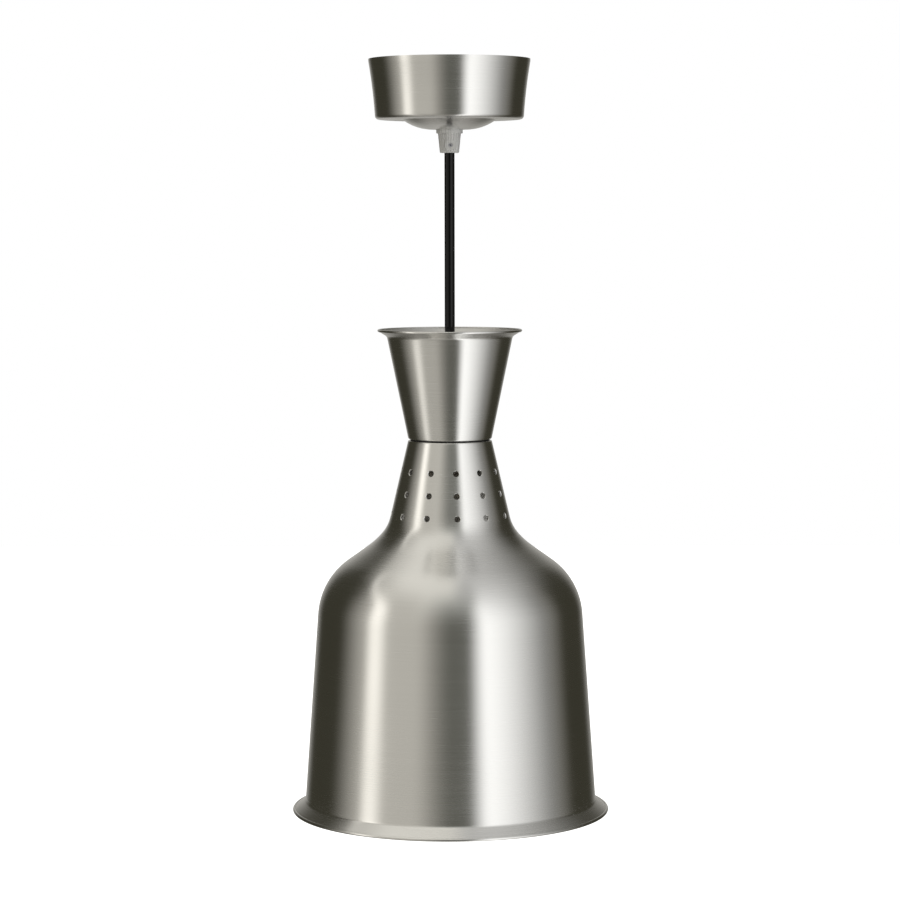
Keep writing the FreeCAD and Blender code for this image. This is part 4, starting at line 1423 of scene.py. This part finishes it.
@dataclass
class HangingCord(SubAssembly):
    """The free cord between the two grips, in a glossy black sheath, and its knee at the head."""

    pivot: Vector
    diameter: float = 7.3 * MM
    sides: int = 32
    line_steps: int = 40
    line_order: int = 3
    blend_length: float = 10 * MM
    knee_gap: float = 1.32 * MM
    ball_ease: float = 0.02 * MM
    ball_rings: int = 8
    ball_reach: float = math.radians(80)

    def route(self, top: Vector, foot: Vector) -> list[Vector]:
        """Read the points that the cord follows from its smooth line.

        Args:
            top: Where it leaves the ceiling grip.
            foot: Where it goes into the head grip.

        Returns:
            The points from top to foot.
        """
        line = bpy.data.curves.new("cord_line", "CURVE")
        line.dimensions = "3D"
        spline = line.splines.new("NURBS")
        places = (top, (top + foot) / 2, foot)
        spline.points.add(len(places) - 1)
        for point, place in zip(spline.points, places):
            point.co = (*place, 1.0)
        spline.order_u = self.line_order
        spline.use_endpoint_u = True
        spline.resolution_u = self.line_steps
        holder = bpy.data.objects.new("cord_line", line)
        bpy.context.scene.collection.objects.link(holder)
        mesh = bpy.data.meshes.new_from_object(holder)
        points = [vertex.co.copy() for vertex in mesh.vertices]
        bpy.data.objects.remove(holder)
        return points

    def sleeve(self, name: str, points: Sequence[Vector]) -> bpy.types.Object:
        """Extrude a disc along points that lie under each other.

        Args:
            name: The new object's name.
            points: The points that the disc goes through.

        Returns:
            The closed tube.
        """
        deselect_all()
        bpy.ops.mesh.primitive_circle_add(
            vertices=self.sides, radius=self.diameter / 2, fill_type="NGON", location=points[0]
        )
        sleeve = settle(bpy.context.active_object)
        sleeve.name = name
        with editing(sleeve):
            bpy.ops.mesh.select_mode(type="FACE")
            for before, after in zip(points, points[1:]):
                bpy.ops.mesh.extrude_region_move(TRANSFORM_OT_translate={"value": after - before})
        return sleeve

    def round_end(self, tube: bpy.types.Object, end: Vector) -> None:
        """Extrude a tube's lower end into a ball round the pivot, so that it can turn there.

        Args:
            tube: The tube.
            end: The middle of its lower end.
        """
        ball = self.diameter / 2 - self.ball_ease
        first = -math.asin((end - self.pivot).z / ball)
        pick_faces(tube, lambda face: (face.center - end).length < self.ball_ease)
        place, width = end, self.diameter / 2
        for step in range(self.ball_rings + 1):
            angle = first + (self.ball_reach - first) * step / self.ball_rings
            after = self.pivot - on_axis(ball * math.sin(angle))
            bpy.ops.mesh.extrude_region_move(TRANSFORM_OT_translate={"value": after - place})
            share = ball * math.cos(angle) / width
            bpy.ops.transform.resize(value=(share, share, 1), center_override=after)
            place, width = after, share * width
        bpy.ops.object.mode_set(mode="OBJECT")

    def build(self) -> None:
        """Hang the cord from the ceiling grip to its pivot over the head grip, and stand its stub there."""
        top = on_axis(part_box("ceiling_cord_grip")[0].z)
        foot = on_axis(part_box("head_cord_grip")[1].z)
        points = self.route(top, foot)
        half_gap = on_axis(self.knee_gap / 2)
        upper_end = self.pivot + half_gap
        lower_end = self.pivot - half_gap
        above = [point for point in points if point.z > upper_end.z]
        below = [point for point in points if point.z < lower_end.z]
        cord = self.sleeve("cord_sheath", [*above, upper_end])
        self.round_end(cord, upper_end)
        knee = self.sleeve("cord_knee", [*reversed(below), lower_end])
        for tube in (cord, knee):
            close_up(tube)
            wrap_uv(tube)
        dress(cord, Finishes.BLACK_SHEATH)
        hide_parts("cord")
        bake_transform(cord)
        log.info("%s hangs %.1f mm free", cord.name, (foot - top).length / MM)
        head = SubAssembly("lamp_head")
        head.mount(knee, Finishes.BLACK_SHEATH)


@dataclass
class Lampholder(SubAssembly):
    """The glazed ceramic holder, flat where the stirrup's legs seat, with a rolled thread in its shell."""

    diameter: float = 43.0 * MM
    flats: float = 41.0 * MM
    edge: float = 2.0 * MM
    mouth: float = 36.0 * MM
    mouth_depth: float = 8.5 * MM
    mouth_bend: float = 0.8 * MM
    shell_seat: float = 28.0 * MM
    seat_bend: float = 0.3 * MM
    chamber: float = 24.0 * MM
    chamber_bend: float = 1.0 * MM
    screw_hole: float = 4.2 * MM
    screw_depth: float = 8.0 * MM
    screw_reach: float = 8.0 * MM
    rivet_hole: float = 2.6 * MM
    rivet_reach: float = 6.0 * MM
    thread_middle: float = 13.55 * MM
    thread_swing: float = 0.24 * MM
    thread_pitch: float = 3.63 * MM
    shell_wall: float = 0.3 * MM
    collar: float = 1.2 * MM

    def ceramic(self) -> bpy.types.Object:
        """Turn the ceramic body, cut its two flats and bore its holes.

        Returns:
            The ceramic body.
        """
        low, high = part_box("lampholder_body")
        shell_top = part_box("screw_shell")[1].z
        chamber_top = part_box("centre_contact")[1].z
        corners = [
            Corner(0, high.z),
            Corner(self.diameter / 2, high.z, self.edge),
            Corner(self.diameter / 2, low.z, self.edge),
            Corner(self.mouth / 2, low.z, self.mouth_bend),
            Corner(self.mouth / 2, low.z + self.mouth_depth, self.mouth_bend),
            Corner(self.shell_seat / 2, low.z + self.mouth_depth, self.seat_bend),
            Corner(self.shell_seat / 2, shell_top),
            Corner(self.chamber / 2, shell_top),
            Corner(self.chamber / 2, chamber_top, self.chamber_bend),
            Corner(0, chamber_top),
        ]
        body = turned("holder_ceramic", corners)
        for side in (-1, 1):
            cut(body, self.flat(side, high.z))
            mouth = Vector((side * (self.flats / 2 + OVERRUN), 0, high.z - self.screw_depth))
            reach = Vector((side * (OVERRUN + self.screw_reach), 0, 0))
            cut(body, rod(self.screw_hole, mouth, mouth - reach))
        foot = Vector((self.chamber / 4, 0, chamber_top - OVERRUN))
        cut(body, rod(self.rivet_hole, foot, foot + on_axis(OVERRUN + self.rivet_reach)))
        return close_up(body)

    def flat(self, side: int, top: float) -> bpy.types.Object:
        """Make the block that cuts one flat, down to the foot of the stirrup's leg.

        Args:
            side: 1 for the flat towards +X, -1 for the other.
            top: The height of the ceramic body's top.

        Returns:
            The block.
        """
        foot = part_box("holder_stirrup")[0].z
        depth = self.diameter - self.flats
        deselect_all()
        bpy.ops.mesh.primitive_cube_add(
            size=1,
            location=(side * (self.flats + depth) / 2, 0, (foot + top + depth) / 2),
            scale=(depth, self.diameter, top + depth - foot),
        )
        return settle(bpy.context.active_object)

    def shell(self) -> bpy.types.Object:
        """Roll the threaded shell and close it with a plain collar at each end.

        Returns:
            The shell.
        """
        low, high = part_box("screw_shell")
        outer = high.x
        inner = outer - 2 * self.shell_wall
        thread = Thread(self.thread_middle, self.thread_swing, self.thread_pitch, self.shell_wall)
        shell = thread.tube("holder_shell", low.z, high.z)
        edge = self.shell_wall / 2
        collars = []
        for foot in (low.z, high.z - self.collar):
            head = foot + self.collar
            corners = [Corner(outer, foot, edge), Corner(outer, head, edge)]
            corners += [Corner(inner, head, edge), Corner(inner, foot, edge)]
            collars.append(ring("holder_collar", corners))
        return close_up(join([shell, *collars]))

    def build(self) -> None:
        """Put the ceramic body and the shell in their places."""
        self.mount(self.ceramic(), Finishes.WHITE_CERAMIC, "lampholder_body")
        self.mount(self.shell(), Finishes.PLATED_SHELL, "screw_shell")


@dataclass
class Bulb(SubAssembly):
    """The reflector bulb: blown glass, a mirror coat inside its bowl, and a cap with a rolled thread."""

    wall: float = 1.2 * MM
    coat: float = 0.15 * MM
    coat_gap: float = 0.05 * MM
    coat_share: float = 0.8
    collar: float = 29.0 * MM
    collar_drop: float = 0.4 * MM
    rise: float = 14.0 * MM
    neck: float = 40.0 * MM
    neck_length: float = 34.0 * MM
    neck_bend: float = 14.0 * MM
    bowl: float = 88.0 * MM
    bowl_length: float = 62.0 * MM
    bowl_bend: float = 60.0 * MM
    rim: float = 125.0 * MM
    rim_length: float = 106.0 * MM
    rim_height: float = 14.0 * MM
    rim_bend: float = 40.0 * MM
    face: float = 56.0 * MM
    face_edge_bend: float = 10.0 * MM
    face_bend: float = 100.0 * MM
    sides: int = 128
    cap: float = 26.1 * MM
    cap_wall: float = 0.3 * MM
    cap_skirt: float = 29.2 * MM
    cap_skirt_flare: float = 3.0 * MM
    cap_skirt_bend: float = 4.0 * MM
    cap_shoulder: float = 23.7 * MM
    cap_shoulder_drop: float = 2.0 * MM
    thread_swing: float = 0.5 * MM
    thread_crest: float = 0.35 * MM
    thread_pitch: float = 3.63 * MM
    thread_start: float = 5.0 * MM
    overlap: float = 1.0 * MM
    cap_sides: int = 96

    def corners(self, foot_z: float, face_z: float) -> list[Corner]:
        """Give the glass's outer corners, from the cap down to the middle of the face.

        Args:
            foot_z: The height of the cap's foot.
            face_z: The height of the bulb's face.

        Returns:
            The corners.
        """
        return [
            Corner(self.collar / 2, foot_z - self.collar_drop),
            Corner(self.neck / 2, foot_z - self.rise, self.neck_bend),
            Corner(self.neck / 2, foot_z - self.neck_length, self.neck_bend),
            Corner(self.bowl / 2, foot_z - self.bowl_length, self.bowl_bend),
            Corner(self.rim / 2, foot_z - self.rim_length, self.rim_bend),
            Corner(self.rim / 2, foot_z - self.rim_length - self.rim_height, self.face_edge_bend),
            Corner(self.face / 2, face_z, self.face_bend),
            Corner(0, face_z),
        ]

    def mirror(self, outer: Sequence[Corner]) -> bpy.types.Object:
        """Spin the mirror coat that lines the glass from its neck to its widest part.

        Args:
            outer: The corners of the glass's outer face.

        Returns:
            The coat, a closed sheet.
        """
        lined = other_face(outer, self.wall + self.coat_gap)[1:5]
        end = Corner(lined[-1].across, lined[-1].height - self.coat_share * self.rim_height)
        return spun_sheet("bulb_mirror", [*lined, end], self.coat, sides=self.sides)

    def threaded_cap(self, foot: float, top: float) -> bpy.types.Object:
        """Roll the cap's thread between its turned-in shoulder and its flared skirt.

        Args:
            foot: The height of the skirt's end.
            top: The height of the shoulder.

        Returns:
            The cap.
        """
        crest = self.cap / 2
        middle = crest - self.thread_crest - self.cap_wall / 2
        shoulder = [
            Corner(self.cap_shoulder / 2, top),
            Corner(middle + self.cap_wall, top, 2 * self.cap_wall),
            Corner(middle + self.cap_wall, top - self.cap_shoulder_drop),
        ]
        skirt = [
            Corner(crest, foot + self.thread_start + self.overlap),
            Corner(crest, foot + self.cap_skirt_flare, self.cap_skirt_bend),
            Corner(self.cap_skirt / 2, foot),
        ]
        thread = Thread(middle, self.thread_swing, self.thread_pitch, self.cap_wall)
        tube = thread.tube("bulb_cap_threaded", foot + self.thread_start, top - self.overlap)
        sheets = [
            spun_sheet("cap_sheet", corners, self.cap_wall, sides=self.cap_sides)
            for corners in (shoulder, skirt)
        ]
        return close_up(join([tube, *sheets]))

    def build(self) -> None:
        """Spin the glass and its mirror coat, and set the cap on its neck."""
        foot, top = (corner.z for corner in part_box("bulb_cap"))
        face_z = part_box("bulb_glass")[0].z
        outer = self.corners(foot, face_z)
        inner = other_face(outer, self.wall)
        inner[-1] = Corner(0, face_z + self.wall)
        glass = turned("bulb_blown", [*reversed(outer), *inner], sides=self.sides)
        self.mount(glass, Finishes.BULB_GLASS, "bulb_glass")
        self.mount(self.mirror(outer), Finishes.MIRROR_COAT)
        self.mount(self.threaded_cap(foot, top), Finishes.PLATED_SHELL, "bulb_cap")


# --- Studio ---


@dataclass(frozen=True)
class LightBand:
    """A standing softbox, seen from the lamp as a band of light.

    Bearings are degrees round from the front, positive towards +X. Elevations are degrees up. The light
    comes in over the bearings of the rise and goes out over those of the fall. Upwards it comes in over
    the elevations of the foot, and thins to the head's share over those of the head. A band that drifts
    has moved left by that many degrees at its steepest.
    """

    rise: Span
    fall: Span
    level: float
    tint: Colour = (1.0, 1.0, 1.0)
    foot: Span = (-65.0, -40.0)
    head: Span = (80.0, 90.0)
    head_share: float = 1.0
    drift: float = 0.0


@dataclass(frozen=True)
class Sky:
    """One side of the soft light overhead: the elevations between which it comes in, and its colour."""

    rise: Span
    tint: Colour


@dataclass
class Studio:
    """The camera, the pale floor and the soft light."""

    lens: float = 116.0
    sensor: float = 36.0
    view_depth: float = 100.0
    distance: float = 2.09
    camera_z: float = -0.1161
    tilt: float = math.radians(4.5)
    roll: float = math.radians(-0.1)
    floor_z: float = -2.6
    floor_size: float = 40.0
    floor_colour: Colour = (0.9, 0.9, 0.9)
    backdrop: Colour = (1.0, 1.0, 1.0)
    shadow: Colour = (0.040, 0.038, 0.027)
    ground: Colour = (0.25, 0.24, 0.22)
    ground_fade: Span = (-65, -35)
    sky_left: Sky = Sky((36, 68), (0.80, 0.78, 0.72))
    sky_right: Sky = Sky((25, 80), (0.54, 0.535, 0.52))
    sky_split: Span = (-0.03, 0.16)
    drift_elevations: Span = (25, 75)
    left_fill: LightBand = LightBand((-112, -68), (-32, 2), 0.48, (1.0, 0.965, 0.89), foot=(-100, 5))
    left_strip: LightBand = LightBand(
        (-80, -69), (-67, -53), 0.81, (1.0, 0.97, 0.91), foot=(-80, 25), drift=100
    )
    front_card: LightBand = LightBand((-20, 0), (12, 30), 0.06, (0.97, 1.0, 0.94))
    front_sky: LightBand = LightBand((-45, -5), (20, 42), 0.24, (0.98, 1.0, 0.95), foot=(10, 46))
    right_box: LightBand = LightBand(
        (13, 32), (14, 115), 1.27, (1.0, 1.0, 0.995), foot=(-95, -70), head=(8, 62), head_share=0.7, drift=-16
    )
    right_edge: LightBand = LightBand((86, 98), (102, 118), 0.05, (1.0, 0.95, 0.85))
    back_left: LightBand = LightBand((-190, -181), (-176, -145), 0.42, (1.0, 0.98, 0.94))
    back_right: LightBand = LightBand((145, 176), (181, 190), 0.36, (1.0, 0.98, 0.94))

    def shoot(self) -> None:
        """Place the camera at the front, a little above the lamp's middle and looking down on it."""
        camera = bpy.data.cameras.new("camera")
        camera.lens = self.lens
        camera.sensor_width = self.sensor
        camera.clip_end = self.view_depth
        holder = bpy.data.objects.new("camera", camera)
        holder.location = (0, -self.distance, self.camera_z)
        turn = Matrix.Rotation(math.pi / 2 - self.tilt, 4, "X") @ Matrix.Rotation(self.roll, 4, "Z")
        holder.rotation_euler = turn.to_euler()
        bpy.context.scene.collection.objects.link(holder)
        bpy.context.scene.camera = holder
        bpy.context.scene.view_settings.view_transform = "Standard"

    def lay_floor(self) -> None:
        """Lay a plain white floor far below the lamp, which only the camera sees."""
        deselect_all()
        bpy.ops.mesh.primitive_plane_add(size=self.floor_size, location=(0, 0, self.floor_z))
        floor = bpy.context.active_object
        floor.name = "floor"
        material = bpy.data.materials.new("pale_floor")
        material.use_nodes = True
        graph = Graph(material.node_tree)
        white = {"Base Color": self.floor_colour, "Emission Color": self.backdrop, "Emission Strength": 1.0}
        shader = graph.add("BsdfPrincipled", white)
        graph.add("OutputMaterial", {"Surface": shader.outputs[0]})
        floor.data.materials.append(material)
        for ray in ("glossy", "diffuse", "transmission", "shadow"):
            setattr(floor, "visible_" + ray, False)

    def band_light(
        self, graph: Graph, bearing: Feed, elevation: Feed, band: LightBand
    ) -> bpy.types.NodeSocket:
        """Give one band's light.

        Args:
            graph: The world's nodes.
            bearing: The socket of the bearing looked in, in degrees.
            elevation: The socket of the elevation looked in, in degrees.
            band: The band.

        Returns:
            The socket of its colour.
        """
        if band.drift:
            drift = graph.spread(elevation, self.drift_elevations, 0, band.drift)
            bearing = graph.maths("ADD", bearing, drift)
        amount = graph.times(graph.spread(bearing, band.rise), band.level)
        amount = graph.times(amount, graph.spread(bearing, band.fall, 1, 0))
        amount = graph.times(amount, graph.spread(elevation, band.foot))
        amount = graph.times(amount, graph.spread(elevation, band.head, 1, band.head_share))
        return graph.add("VectorMath", {0: band.tint, "Scale": amount}, operation="SCALE").outputs[0]

    def light(self) -> None:
        """Surround the lamp with standing softboxes, under a broad soft sky and over a dim ground."""
        world = bpy.data.worlds.new("studio")
        world.use_nodes = True
        bpy.context.scene.world = world
        graph = Graph(world.node_tree)
        x, y, z = graph.parts(graph.add("TexCoord").outputs["Generated"])
        bearing = graph.maths("DEGREES", graph.maths("ARCTAN2", x, graph.times(y, -1)))
        elevation = graph.maths("DEGREES", graph.maths("ARCSINE", z))
        total = graph.tint(graph.spread(elevation, self.ground_fade), self.ground, self.shadow)
        bands = (self.left_fill, self.left_strip, self.front_card, self.front_sky)
        bands += (self.right_box, self.right_edge, self.back_left, self.back_right)
        for band in bands:
            glow = self.band_light(graph, bearing, elevation, band)
            total = graph.add("VectorMath", {0: total, 1: glow}, operation="ADD").outputs[0]
        halves = [
            graph.tint(graph.spread(elevation, sky.rise), total, sky.tint)
            for sky in (self.sky_left, self.sky_right)
        ]
        room = graph.tint(graph.spread(x, self.sky_split), *halves)
        seen = graph.add("Background", {"Color": self.backdrop}).outputs[0]
        lit = graph.add("Background", {"Color": room}).outputs[0]
        straight = graph.add("LightPath").outputs["Is Camera Ray"]
        mixed = graph.add("MixShader", {0: straight, 1: lit, 2: seen})
        graph.add("OutputWorld", {"Surface": mixed.outputs[0]})


# --- The lamp ---


def dress_nodes(frame: Mapping[str, Any]) -> None:
    """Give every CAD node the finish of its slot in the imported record.

    Args:
        frame: The loaded frame.
    """
    by_slot = {finish.value.slot: finish for finish in reversed(Finishes)}
    for entry in frame["record"]["subparts"]:
        dress(frame["nodes"][entry["node"]], by_slot[entry["material_slot"]])


def main() -> None:
    """Build the lamp over its frame, piece by piece."""
    logging.basicConfig(level=logging.INFO, format="%(name)s: %(message)s")
    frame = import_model()
    studio = Studio()
    studio.shoot()
    studio.lay_floor()
    studio.light()
    dress_nodes(frame)
    tilt = next(joint for joint in frame["joints"] if joint["name"] == "head_tilt")
    HangingCord("cord", Vector(tilt["pos_m"])).build()
    Canopy("ceiling_mount").build()
    CordGrip("ceiling_mount", Seat.CEILING, "ceiling_cord_grip").build()
    CordGrip("lamp_head", Seat.HEAD, "head_cord_grip").build()
    Cup("lamp_head").build()
    Shade("lamp_head").build()
    Lampholder("lamp_head").build()
    Bulb("bulb").build()


if __name__ == "__main__":
    main()
